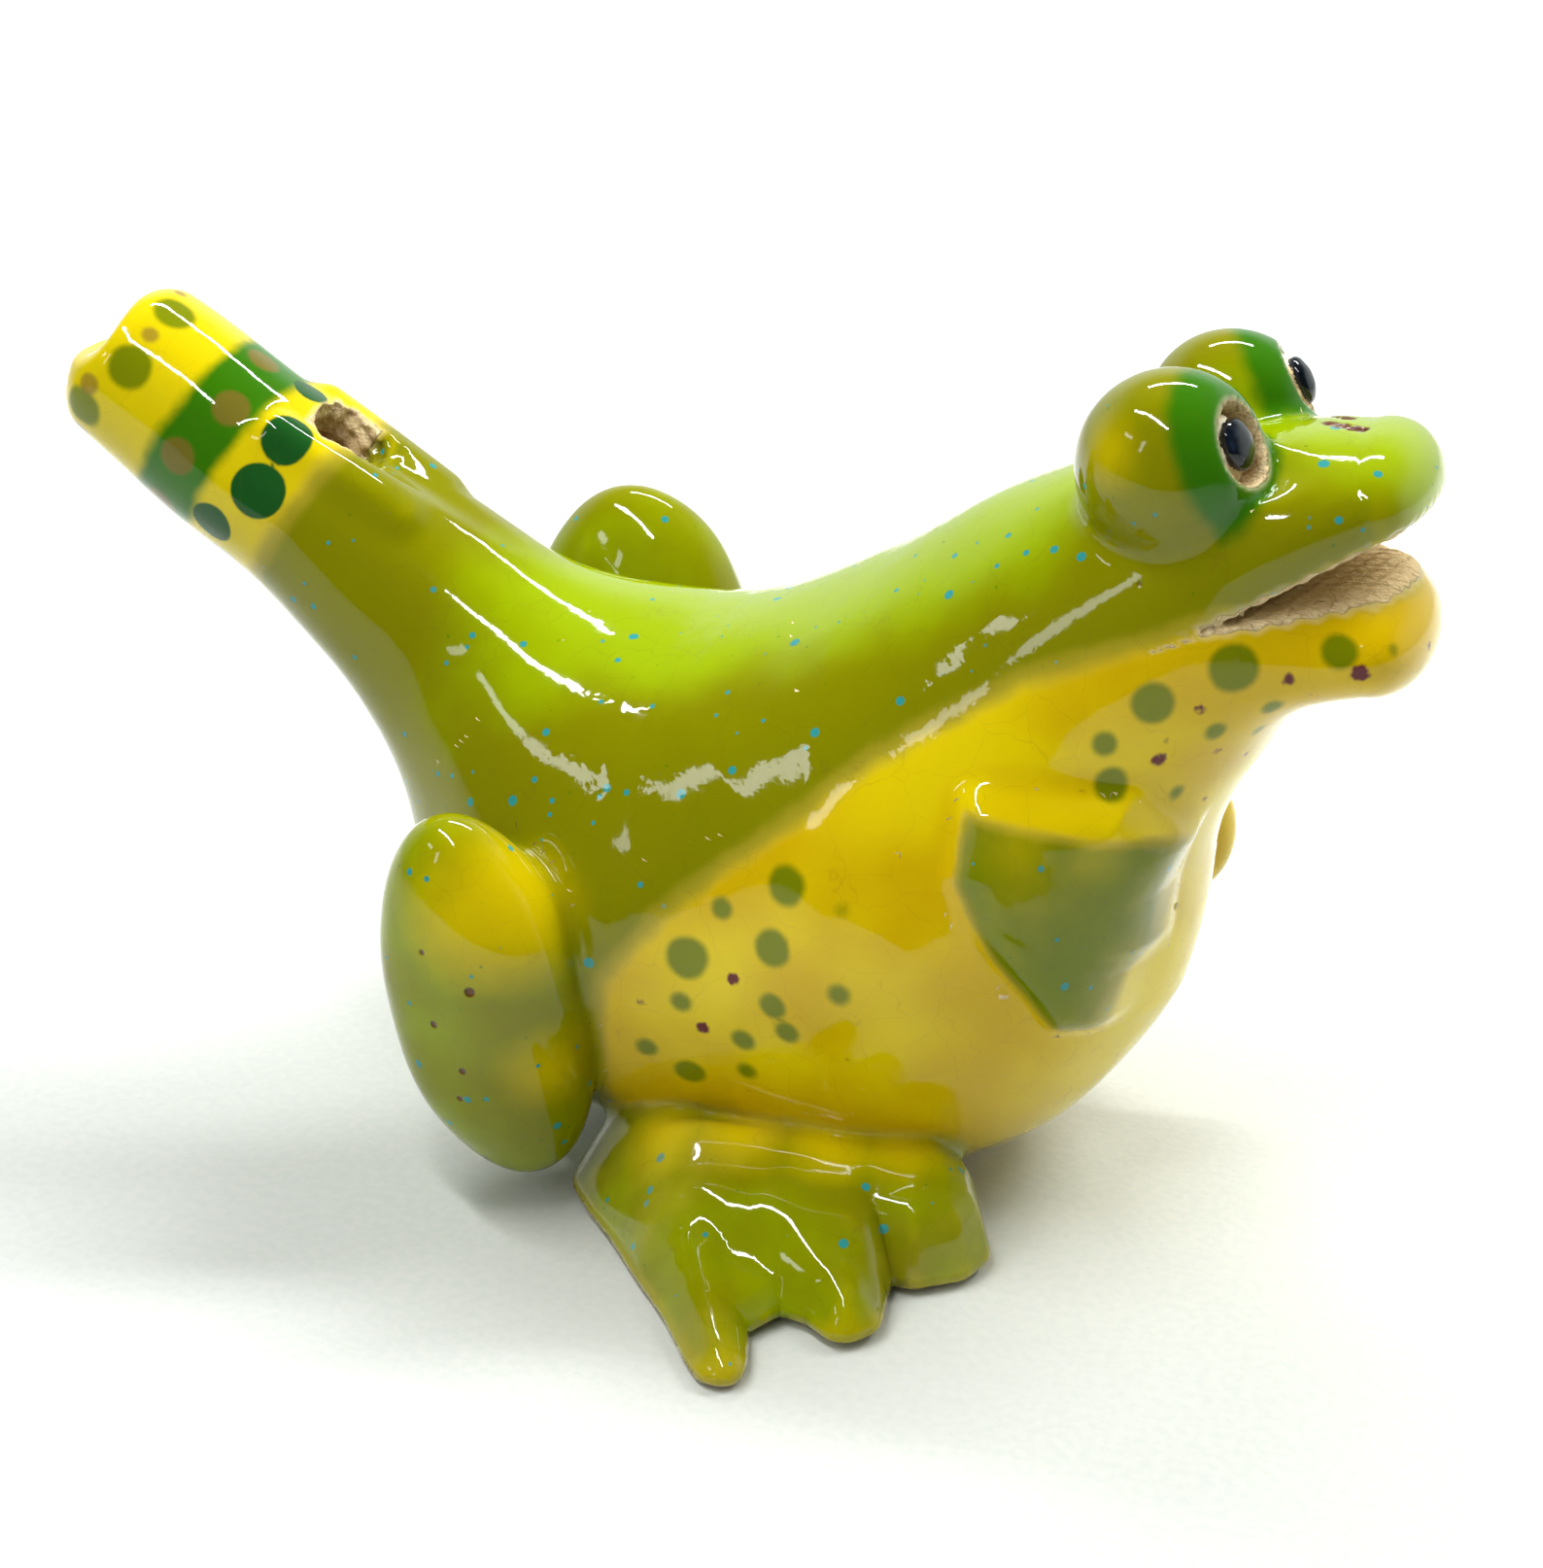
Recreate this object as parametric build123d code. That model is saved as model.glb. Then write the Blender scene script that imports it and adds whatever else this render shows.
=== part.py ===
from build123d import *
from math import asin, cos, radians, sin
import os

# Glazed clay frog whistle: a hand-built vessel flute.
#
# Millimetres. +X is forward (the snout), +Y is the frog's left, +Z is up. The origin lies on the flat
# resting face under the belly, on the frog's middle plane.
#
# A potter lutes the frog together from separate clay pieces, and each of them is a node here: the two
# pinch pots of the hollow chamber, the raised tail that is the mouthpiece, head and lower jaw, eyes,
# thighs, feet and arms. Neighbours are cut to each other, so they meet face to face as pressed clay does.

# --- driving dimensions -------------------------------------------------------------------------------
WALL = 4.0                  # thickness of the pinched clay round the chamber
SEAM_SLOPE = 27.0           # degrees; the seam between the pinch pots climbs towards the mouth
SEAM_END = (28.5, 48.2)     # x, z of the mouth's corner, where the seam ends

# hollow chamber: two balls on the middle plane and the cone tangent to both
RUMP_CENTRE, RUMP_RADIUS = (-10.0, 0.0, 19.6), 19.9
CHEST_CENTRE, CHEST_RADIUS = (3.2, 0.0, 20.9), 21.5

# oval sections along the middle plane: x, z, half width, half height
TAIL = [
    (-57.5, 55.8, 7.0, 6.6),
    (-46.5, 48.1, 7.6, 7.3),
    (-39.7, 43.4, 8.0, 7.7),
    (-33.4, 38.2, 9.0, 8.8),
    (-27.0, 32.5, 11.5, 11.2),
    (-20.0, 26.5, 15.2, 14.8),
    (-13.0, 22.0, 17.5, 17.5),
]
NECK = [
    (8.0, 27.0, 19.0, 18.0),
    (14.0, 36.0, 16.5, 15.5),
    (20.0, 43.0, 14.5, 13.0),
    (25.5, 48.5, 12.8, 10.0),
    (31.0, 52.6, 11.5, 6.8),
    (37.4, 55.3, 8.8, 4.3),
]
JAW = [
    (14.0, 36.0, 14.0, 12.0),
    (22.0, 41.0, 13.0, 9.5),
    (30.0, 44.3, 11.5, 6.3),
    (37.8, 45.2, 9.3, 4.3),
]
TAIL_END_BULGE = 4.2        # how far the mouthpiece's blunt end stands past its first section
SNOUT_BULGE = 4.3
MOUTHPIECE_JOINT = 4        # index of the tail section where the mouthpiece is luted on
FUNNEL_START = 3            # index of the tail section where the bore widens into the chamber

# open mouth: a wedge between the top of the jaw and the palate
PALATE_SLOPE = 27.0
JAW_TOP_SLOPE = 6.5

# voicing of the whistle, measured along the mouthpiece's axis from its first section
WINDWAY_WIDTH, WINDWAY_HEIGHT = 8.0, 2.0
WINDWAY_RISE = 2.4          # the windway lies this far above the axis
WINDOW_START, WINDOW_LENGTH, WINDOW_WIDTH = 14.2, 3.8, 7.6
RAMP_LENGTH, RAMP_RISE = 5.2, 5.4
BORE_RADIUS, BORE_DROP, BORE_LENGTH = 4.3, 1.3, 17.5

# eyes: mound centre, half length and radius on each side, each ball rolled by hand
MOUNDS = {
    "right": ((24.0, 7.0, 57.5), 6.6, 6.5),
    "left": ((25.6, 7.4, 57.6), 6.2, 5.7),
}
MOUND_AXIS = (1, 0, 0)
GAZE = (0.88, 0.20, 0.42)   # forward, outward, up
EYEBALL_RADIUS = 3.0
EYEBALL_SET = 2.9           # from the mound's centre to the eyeball's, along the gaze
SOCKET_RIM = 0.4            # bare clay round the eyeball where the socket opens
PUPIL_RADIUS, PUPIL_PROUD, PUPIL_ROOT = 1.8, 0.6, 1.9

NOSTRIL_CENTRE = (36.0, 2.4, 59.5)
NOSTRIL_AXIS = (1.0, 0.35, 0.2)
NOSTRIL_HALF_LENGTH, NOSTRIL_RADIUS = 1.3, 0.7

# thighs: centre, radii, and the lean outward and backward; the left one is larger and sits higher
THIGHS = {
    "right": ((-21.2, 21.0, 17.3), (7.4, 6.2, 14.8), (7.0, -9.0)),
    "left": ((-23.4, 18.3, 26.2), (10.2, 6.7, 17.3), (6.0, -6.0)),
}

# webbed foot: corners of the web, the ridge's height, and the slope of its top towards the toes
WEB = [(-12.5, 17.0), (-13.5, 23.0), (2.0, 34.0), (10.5, 27.0), (11.0, 14.0)]
WEB_RIDGE = (-12.0, 20.0, 8.4)
WEB_TOP_NORMAL = (0.15, 0.29, 1.0)
TOES = [                    # root and tip of each toe, with their radii
    ((-9.5, 23.0, 4.4), 4.4, (1.2, 38.0, 2.4), 2.3),
    ((0.0, 22.0, 4.0), 4.4, (8.8, 31.0, 2.6), 2.6),
    ((6.0, 17.0, 4.2), 4.2, (14.0, 22.5, 3.0), 3.0),
]

# flipper arm pressed flat on the chest: x, z of its wavy edge, from the elbow round the fingers
ARM_EDGE = [(13.5, 36.0), (12.6, 31.0), (16.0, 25.5), (19.5, 20.2), (21.8, 20.0), (23.0, 23.7), (25.6, 25.0),
            (26.0, 29.0), (28.0, 33.0), (24.0, 35.5)]
ARM_THICKNESS = 4.0
ARM_INNER_Y = 8.0

SIDES = {"right": -1, "left": 1}
FAR = 200.0                 # larger than the frog, for cutting blocks


# --- helpers ------------------------------------------------------------------------------------------
def pebble(centre, radii, lean):
    """Ellipsoid whose poles lie sideways, leaning about X and Y in degrees."""
    return Pos(*centre) * Rot(lean[0], lean[1], 0) * scale(Rot(90, 0, 0) * Sphere(1), by=radii)


def egg(centre, axis, half_length, radius):
    """Ellipsoid turned about its long axis."""
    arc = EllipticalCenterArc((0, 0), half_length, radius, start_angle=0, arc_size=180)
    outline = make_face([arc, Line(arc @ 1, arc @ 0)])
    lying = revolve(outline, Axis.X)
    return Plane(centre, z_dir=axis) * Rot(0, -90, 0) * lying


def capsule(start, start_radius, end, end_radius):
    """Two balls and the cone tangent to both, turned as one solid."""
    start, end = Vector(*start), Vector(*end)
    reach = (end - start).length
    lean = asin((start_radius - end_radius) / reach)
    tangent_start = (start_radius * sin(lean), start_radius * cos(lean))
    tangent_end = (reach + end_radius * sin(lean), end_radius * cos(lean))
    pole_start, pole_end = (-start_radius, 0), (reach + end_radius, 0)
    start_angle, end_angle = radians(135) - lean / 2, radians(45) - lean / 2
    mid_start = (start_radius * cos(start_angle), start_radius * sin(start_angle))
    mid_end = (reach + end_radius * cos(end_angle), end_radius * sin(end_angle))
    outline = Wire([
        Edge.make_three_point_arc(pole_start, mid_start, tangent_start),
        Edge.make_line(tangent_start, tangent_end),
        Edge.make_three_point_arc(tangent_end, mid_end, pole_end),
        Edge.make_line(pole_end, pole_start),
    ])
    along = (end - start).normalized()
    sideways = Vector(0, 0, 1).cross(along)
    frame = Plane(start, x_dir=along, z_dir=along.cross(sideways))
    return frame * revolve(Face(outline), Axis.X)


def half_space(point, slope, above):
    """Everything above, or below, a plane parallel to Y that climbs by slope degrees towards +X."""
    side = Align.MIN if above else Align.MAX
    block = Box(FAR, FAR, FAR, align=(Align.CENTER, Align.CENTER, side))
    return Pos(point[0], 0, point[1]) * Rot(0, -slope, 0) * block


def section_planes(stations):
    """A plane across the body at each station, its X axis along the frog's Y."""
    planes = []
    for i, (x, z, _, _) in enumerate(stations):
        before = stations[max(i - 1, 0)]
        after = stations[min(i + 1, len(stations) - 1)]
        along = (after[0] - before[0], 0, after[1] - before[1])
        planes.append(Plane((x, 0, z), x_dir=(0, 1, 0), z_dir=along))
    return planes


def oval_loft(stations, grow=0.0):
    """Smooth body through oval sections."""
    planes = section_planes(stations)
    return loft([p * Ellipse(w + grow, h + grow) for p, (_, _, w, h) in zip(planes, stations)])


def end_cap(stations, end, bulge, grow=0.0):
    """Half ellipsoid that closes the first or last section of an oval loft."""
    plane, (_, _, w, h) = section_planes(stations)[end], stations[end]
    side = Align.MAX if end == 0 else Align.MIN
    ball = scale(Sphere(1), by=(w + grow, h + grow, bulge + grow))
    return plane * (ball & Box(FAR, FAR, FAR, align=(Align.CENTER, Align.CENTER, side)))


def biggest(shape):
    return max(shape.solids(), key=lambda solid: solid.volume)


def mirror_side(point, side):
    return (point[0], SIDES[side] * point[1], point[2])


# --- chamber and mouthpiece ---------------------------------------------------------------------------
def chamber_outside(grow=0.0):
    return capsule(RUMP_CENTRE, RUMP_RADIUS + grow, CHEST_CENTRE, CHEST_RADIUS + grow)


def tail_outside():
    return oval_loft(TAIL) + end_cap(TAIL, 0, TAIL_END_BULGE)


def chamber_air():
    """The hollow: a smaller chamber, and a funnel that narrows up the tail to the bore."""
    rings = section_planes(TAIL)[FUNNEL_START:]
    funnel = loft([p * Circle(s[3] - WALL) for p, s in zip(rings, TAIL[FUNNEL_START:])])
    return chamber_outside(-WALL) + funnel


def voicing_frame():
    """X runs down the mouthpiece from its first section, Y towards its upper side."""
    (x0, z0, _, _), (x1, z1, _, _) = TAIL[0], TAIL[1]
    return Plane((x0, 0, z0), x_dir=(x1 - x0, 0, z1 - z0), z_dir=(0, -1, 0))


def voicing():
    """Windway, window, ramp and bore: everything that is cut out of the mouthpiece."""
    frame = voicing_frame()
    windway_length = WINDOW_START + 2 * TAIL_END_BULGE
    windway = Pos(WINDOW_START, WINDWAY_RISE, 0) * Box(
        windway_length, WINDWAY_HEIGHT, WINDWAY_WIDTH, align=(Align.MAX, Align.CENTER, Align.CENTER)
    )
    floor = WINDWAY_RISE - WINDWAY_HEIGHT / 2
    window = Pos(WINDOW_START, floor, 0) * Box(
        WINDOW_LENGTH, FAR, WINDOW_WIDTH, align=(Align.MIN, Align.MIN, Align.CENTER)
    )
    edge = WINDOW_START + WINDOW_LENGTH
    lip = WINDWAY_RISE + WINDWAY_HEIGHT / 4
    ramp_side = Polyline(
        (edge, lip), (edge, FAR), (edge + RAMP_LENGTH, FAR), (edge + RAMP_LENGTH, lip + RAMP_RISE), close=True
    )
    ramp = extrude(make_face(ramp_side), amount=WINDOW_WIDTH / 2, both=True)
    bore = Pos(WINDOW_START, -BORE_DROP, 0) * Rot(0, 90, 0) * Cylinder(
        BORE_RADIUS, BORE_LENGTH, align=(Align.CENTER, Align.CENTER, Align.MIN)
    )
    return [frame * cut for cut in (windway, window, ramp, bore)]


def chamber_and_mouthpiece(chamber, tail, air):
    """The two pinch pots, parted at the seam, and the mouthpiece, parted at its joint."""
    joint = section_planes(TAIL)[MOUTHPIECE_JOINT]
    beyond_joint = joint * Box(FAR, FAR, FAR, align=(Align.CENTER, Align.CENTER, Align.MAX))
    mouthpiece = (tail & beyond_joint) - air
    for cut in voicing():
        mouthpiece -= cut
    ground = half_space((0, 0), 0, above=False)
    pots = chamber + (tail - beyond_joint) - air - ground
    return {
        "back_shell": pots & half_space(SEAM_END, SEAM_SLOPE, above=True),
        "belly_shell": pots & half_space(SEAM_END, SEAM_SLOPE, above=False),
        "mouthpiece": mouthpiece,
    }


# --- head ---------------------------------------------------------------------------------------------
def head_outside(grow=0.0):
    return oval_loft(NECK, grow) + end_cap(NECK, -1, SNOUT_BULGE, grow)


def jaw_outside(grow=0.0):
    return oval_loft(JAW, grow) + end_cap(JAW, -1, SNOUT_BULGE, grow)


def mouth():
    return half_space(SEAM_END, PALATE_SLOPE, above=False) & half_space(SEAM_END, JAW_TOP_SLOPE, above=True)


def head_and_jaw(skull, jaw, behind, mounds):
    """Skull and jaw as one mass, opened by the mouth and parted along the seam."""
    mass = skull + jaw - mouth()
    for other in behind:
        mass -= other
    head = mass & half_space(SEAM_END, SEAM_SLOPE, above=True)
    for mound in mounds:
        head -= mound
    for side in SIDES:
        slit_axis = mirror_side(NOSTRIL_AXIS, side)
        head -= egg(mirror_side(NOSTRIL_CENTRE, side), slit_axis, NOSTRIL_HALF_LENGTH, NOSTRIL_RADIUS)
    return {"head": head, "lower_jaw": mass & half_space(SEAM_END, SEAM_SLOPE, above=False)}


def eye(side):
    """A clay mound with a socket, the eyeball in it, and the pupil set into the eyeball."""
    centre, half_length, radius = MOUNDS[side]
    gaze = Vector(*mirror_side(GAZE, side)).normalized()
    ball_centre = Vector(*mirror_side(centre, side)) + gaze * EYEBALL_SET
    looking = Plane(ball_centre, z_dir=gaze)
    along_gaze = (Align.CENTER, Align.CENTER, Align.MIN)
    ball = Pos(ball_centre) * Sphere(EYEBALL_RADIUS)
    opening = looking * Cylinder(EYEBALL_RADIUS + SOCKET_RIM, 2 * EYEBALL_RADIUS, align=along_gaze)
    plug = looking * Pos(0, 0, PUPIL_ROOT) * Cylinder(PUPIL_RADIUS, EYEBALL_RADIUS, align=along_gaze)
    pupil = (Pos(ball_centre) * Sphere(EYEBALL_RADIUS + PUPIL_PROUD)) & plug
    mound = egg(mirror_side(centre, side), MOUND_AXIS, half_length, radius)
    return mound, {
        "eye_mound_" + side: mound - ball - opening,
        "eyeball_" + side: ball - plug,
        "pupil_" + side: pupil,
    }


# --- limbs --------------------------------------------------------------------------------------------
def thigh(side):
    centre, radii, (outward, backward) = THIGHS[side]
    return pebble(mirror_side(centre, side), radii, (-SIDES[side] * outward, backward))


def foot(side):
    """Web with a top that falls towards three tapering toes, flat underneath."""
    outline = Polyline([mirror_side((x, y, 0), side)[:2] for x, y in WEB], close=True)
    web = extrude(make_face(outline), amount=FAR)
    slope = Plane(mirror_side(WEB_RIDGE, side), z_dir=mirror_side(WEB_TOP_NORMAL, side))
    web -= slope * Box(FAR, FAR, FAR, align=(Align.CENTER, Align.CENTER, Align.MIN))
    for root, root_radius, tip, tip_radius in TOES:
        web += capsule(mirror_side(root, side), root_radius, mirror_side(tip, side), tip_radius)
    return web - half_space((0, 0), 0, above=False)


def arm(side, grown_body):
    """Leaf-shaped slab that follows the chest, with a wavy edge of fingers."""
    shoulder = Line(ARM_EDGE[-1], ARM_EDGE[0])
    leaf = make_face([Spline(ARM_EDGE), shoulder])
    upright = Plane((0, SIDES[side] * ARM_INNER_Y, 0), x_dir=(1, 0, 0), z_dir=(0, -1, 0))
    slab = extrude(upright * leaf, amount=-SIDES[side] * FAR / 2)
    return slab & grown_body


# --- assembly -----------------------------------------------------------------------------------------
def build():
    chamber, tail, air = chamber_outside(), tail_outside(), chamber_air()
    skull, jaw = head_outside(), jaw_outside()
    pieces = chamber_and_mouthpiece(chamber, tail, air)

    mounds = []
    for side in SIDES:
        mound, eye_pieces = eye(side)
        mounds.append(mound)
        pieces.update(eye_pieces)
    pieces.update(head_and_jaw(skull, jaw, (chamber, tail), mounds))

    grown_body = chamber_outside(ARM_THICKNESS) + head_outside(ARM_THICKNESS)
    for side in SIDES:
        foot_piece = foot(side) - chamber
        pieces["foot_" + side] = foot_piece
        pieces["thigh_" + side] = thigh(side) - chamber - tail - foot_piece
        pieces["arm_" + side] = arm(side, grown_body) - chamber - skull - jaw
    return pieces


os.makedirs("parts", exist_ok=True)
for name, piece in build().items():
    solid = biggest(piece)
    solid.label = name
    export_step(solid, f"parts/{name}.step")
    lost = piece.volume - solid.volume
    print(f"{name}: {solid.volume:.0f} mm3, {len(piece.solids())} solids, {lost:.1f} mm3 of crumbs left off")
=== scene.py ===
"""Looks of a hand-built, glazed clay frog whistle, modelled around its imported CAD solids.

The CAD nodes are the separate clay pieces. Here the same pieces are pressed together, smoothed over, glazed
and fired. Distance-like fields in millimetres describe the clay, which is meshed in one pass, so that pieces
share their edges and the glaze runs across them without a gap. Blender's own objects are in metres.
"""
import math
import bpy
import numpy as np
from mathutils import Matrix, Vector


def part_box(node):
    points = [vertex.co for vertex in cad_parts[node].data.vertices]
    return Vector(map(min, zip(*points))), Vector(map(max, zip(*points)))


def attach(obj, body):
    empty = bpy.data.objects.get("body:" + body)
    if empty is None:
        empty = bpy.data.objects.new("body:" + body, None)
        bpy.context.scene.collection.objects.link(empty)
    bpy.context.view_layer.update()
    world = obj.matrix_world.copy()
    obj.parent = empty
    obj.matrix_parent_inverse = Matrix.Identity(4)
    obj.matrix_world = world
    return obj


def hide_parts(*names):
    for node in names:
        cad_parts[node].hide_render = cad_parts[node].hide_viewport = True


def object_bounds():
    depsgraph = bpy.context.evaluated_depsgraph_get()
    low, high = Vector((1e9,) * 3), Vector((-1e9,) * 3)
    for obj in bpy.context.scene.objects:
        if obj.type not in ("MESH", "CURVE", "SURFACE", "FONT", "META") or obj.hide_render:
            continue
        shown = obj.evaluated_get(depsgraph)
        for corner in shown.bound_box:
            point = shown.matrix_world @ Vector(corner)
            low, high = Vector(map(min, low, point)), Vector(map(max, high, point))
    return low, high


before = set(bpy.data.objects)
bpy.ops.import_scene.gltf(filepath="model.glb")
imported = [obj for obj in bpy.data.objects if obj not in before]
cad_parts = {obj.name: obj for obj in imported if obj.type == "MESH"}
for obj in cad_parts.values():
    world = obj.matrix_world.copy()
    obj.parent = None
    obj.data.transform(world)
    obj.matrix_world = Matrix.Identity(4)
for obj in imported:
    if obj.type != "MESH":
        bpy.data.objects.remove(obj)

CAD_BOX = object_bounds()
MM = 0.001
SIDES = {"right": -1, "left": 1}
VOXEL = 0.42
EYE_VOXEL = 0.14
FAR = 60.0                 # stands for "a long way outside" in a field

# --- driving dimensions of the clay, in millimetres ---
# They follow the CAD source. The window, the eyes, the nostrils, the feet and the arms have finer shapes
# here than their CAD solids, in the same places.
WALL = 4.0
SEAM_SLOPE, SEAM_END = 27.0, (28.5, 48.2)
RUMP = ((-10.0, 0.0, 19.6), 19.9)
CHEST = ((3.2, 0.0, 20.9), 21.5)
TAIL = [                   # oval sections: x, z, half width, half height
    (-57.5, 55.8, 7.0, 6.6),
    (-46.5, 48.1, 7.6, 7.3),
    (-39.7, 43.4, 8.0, 7.7),
    (-33.4, 38.2, 9.0, 8.8),
    (-27.0, 32.5, 11.5, 11.2),
    (-20.0, 26.5, 15.2, 14.8),
    (-13.0, 22.0, 17.5, 17.5),
]
NECK = [
    (8.0, 27.0, 19.0, 18.0),
    (14.0, 36.0, 16.5, 15.5),
    (20.0, 43.0, 14.5, 13.0),
    (25.5, 48.5, 12.8, 10.0),
    (31.0, 52.6, 11.5, 6.8),
    (37.4, 55.3, 8.8, 4.3),
]
JAW = [
    (14.0, 36.0, 14.0, 12.0),
    (22.0, 41.0, 13.0, 9.5),
    (30.0, 44.3, 11.5, 6.3),
    (37.8, 45.2, 9.3, 4.3),
]
TAIL_END_BULGE, SNOUT_BULGE, BURIED_BULGE = 4.2, 4.3, 9.0
MOUTHPIECE_JOINT, FUNNEL_START = 4, 3
PALATE_SLOPE, JAW_TOP_SLOPE = 27.0, 6.5
WINDWAY_WIDTH, WINDWAY_HEIGHT, WINDWAY_RISE = 8.0, 2.0, 2.4
WINDOW_START, WINDOW_LENGTH, WINDOW_WIDTH = 14.2, 3.0, 5.6
RAMP_LENGTH, RAMP_RISE = 4.0, 5.4
BORE_RADIUS, BORE_DROP, BORE_LENGTH = 4.3, 1.3, 17.5
# these three in the mouthpiece's coordinates: along it, up and, if given, across
WINDOW_SHOULDER = ((13.0, 5.4, 4.4), (24.0, 5.8, 3.8), 1.3)     # ends and radius
WINDOW_GROOVE = ((19.0, 9.4, 0.0), 2.9, (31.0, 11.2, 0.0), 2.7)
BLOW_DISH = ((-5.0, 2.4), 3.3)
NEAR_WINDOW = ((-12, -9, -12), (36, 14, 12))    # block that holds everything cut into the mouthpiece
TORN_WINDOW, TORN_MOUTH = 0.3, 0.16
GAZE = (0.88, 0.20, 0.42)
EYEBALL_RADIUS, EYEBALL_SET, EYEBALL_FACE = 2.75, 2.9, 2.2
SOCKET_RADIUS, SOCKET_RIM = 2.85, 3.0
PUPIL_RADIUS, PUPIL_TOP, PUPIL_DOME = 1.8, 3.2, 0.9
NOSTRILS = [((32.5, 4.5, 58.7), (34.5, 2.3, 59.2)), ((33.5, 0.2, 59.4), (35.8, -0.8, 59.2))]
NOSTRIL_RADIUS = 0.4
THIGHS = {
    "right": ((-21.2, 21.0, 17.3), (7.4, 6.2, 14.8), (7.0, -9.0)),
    "left": ((-23.4, 18.3, 26.2), (10.2, 6.7, 17.3), (6.0, -6.0)),
}
WEB = [                    # outline of a foot and its three toes from above: x, distance to the side
    (-13.2, 11.0), (-15.4, 17.9), (-6.5, 28.5),
    (1.5, 38.0), (1.9, 37.9), (0.5, 33.0), (3.2, 28.4),
    (6.8, 29.1), (8.7, 30.6), (9.2, 29.8), (8.5, 26.8), (7.9, 21.8),
    (11.2, 22.1), (13.4, 20.5), (14.0, 18.9), (12.8, 15.4), (9.2, 9.0),
]
WEB_ROUND = 2.1
FOOT_RIDGE, FOOT_FALL, FOOT_SLOPE = (-12.0, 20.0, 8.0), (0.45, 0.89), 0.11
FOOT_STEP = (24.6, 5.4, 2.9)    # the web drops where, over what width, and by how much
FOOT_CRESTS = [                 # rounded crests along the ankle and each toe, from end to end
    ((-12.0, 21.2, 8.9), (10.5, 17.5, 8.4)),
    ((-6.5, 23.5, 6.6), (1.8, 38.6, 2.7)),
    ((2.0, 23.5, 7.0), (9.4, 30.8, 3.6)),
    ((6.0, 15.5, 7.4), (14.2, 20.6, 4.0)),
]
CREST_FALL = 0.2                # how fast a crest falls off, per square millimetre beside it
FOOT_FLANK = (-16.0, 18.5, -0.78, 0.62)   # outer face: x, distance to the side, and its outward direction
ARM_EDGE = [               # outline of an arm in the side view: x, z
    (14.3, 35.5), (14.0, 31.0), (16.8, 25.5), (20.3, 19.8), (22.1, 19.4),
    (23.0, 23.0), (24.7, 24.4), (24.9, 28.2), (26.3, 31.5), (23.5, 35.0),
]
ARM_THICKNESS, ARM_INNER_Y = 3.2, 8.0
ARM_SWELL = (20.0, 27.0, 1.4, 6.0)      # thickest at this x, z, by how much, and how far that spreads
ARM_GREEN_TOP = (14.0, 35.0, -0.22)     # above this slope the arm keeps the belly's yellow: x, z, rise per x
ARM_FLAP = ((22.0, 15.0, 21.5), (4.5, 3.2, 5.6))    # the left arm stands further forward: centre, radii
FINGER_MARKS = ((0.13, 13.0, 4), (0.007, 3.4, 9))   # height, wavelength and seed of two kinds of waves

# how softly the wet clay was smoothed together, the limbs in the order they were pressed on
TAIL_BLEND, NECK_BLEND, JAW_BLEND = 9.0, 8.0, 4.0
LIMB_BLENDS = {"arm_": 2.2, "foot_": 1.3, "thigh_": 1.2, "eye_mound_": 1.6}
LIP_ROUND, CUT_ROUND = 0.9, 0.5
LIMB_REACH = 4.0           # a limb's field is worked out this far outside its CAD box


# --- fields ---
def smooth_min(a, b, k):
    """The smaller of two fields, blended where they differ by less than k."""
    h = np.clip(0.5 + 0.5 * (b - a) / k, 0, 1)
    return b + (a - b) * h - k * h * (1 - h)


def smooth_max(a, b, k):
    return -smooth_min(-a, -b, k)


def length(v):
    return np.sqrt((v * v).sum(-1))


def ellipsoid(q, radii):
    """Distance-like field of an ellipsoid at the origin; radii may differ from point to point."""
    scaled = length(q / radii)
    return scaled * (scaled - 1) / np.maximum(length(q / radii**2), 1e-6)


def capsule(p, start, start_radius, end, end_radius):
    """Two balls and the cone between them."""
    start, end = np.array(start, p.dtype), np.array(end, p.dtype)
    along = end - start
    t = np.clip((p - start) @ along / (along @ along), 0, 1)
    return length(p - start - t[..., None] * along) - (start_radius + (end_radius - start_radius) * t)


def block(p, low, high):
    """Box between two corners."""
    low, high = np.array(low, p.dtype), np.array(high, p.dtype)
    return (np.abs(p - (low + high) / 2) - (high - low) / 2).max(-1)


def polygon(u, v, corners):
    """Signed distance to a closed outline in a plane."""
    nearest = np.full(u.shape, FAR**2, u.dtype)
    sign = np.ones(u.shape, u.dtype)
    for (u0, v0), (u1, v1) in zip(corners, corners[1:] + corners[:1]):
        edge_u, edge_v = u1 - u0, v1 - v0
        du, dv = u - u0, v - v0
        t = np.clip((du * edge_u + dv * edge_v) / (edge_u**2 + edge_v**2), 0, 1)
        nearest = np.minimum(nearest, (du - edge_u * t) ** 2 + (dv - edge_v * t) ** 2)
        above, below, left = v >= v0, v < v1, edge_u * dv > edge_v * du
        sign = np.where((above & below & left) | (~above & ~below & ~left), -sign, sign)
    return sign * np.sqrt(nearest)


def slope_side(p, point, slope):
    """Height above a plane through (x, z) that lies along Y and climbs by slope degrees towards +X."""
    a = math.radians(slope)
    return (p[..., 2] - point[1]) * math.cos(a) - (p[..., 0] - point[0]) * math.sin(a)


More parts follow.
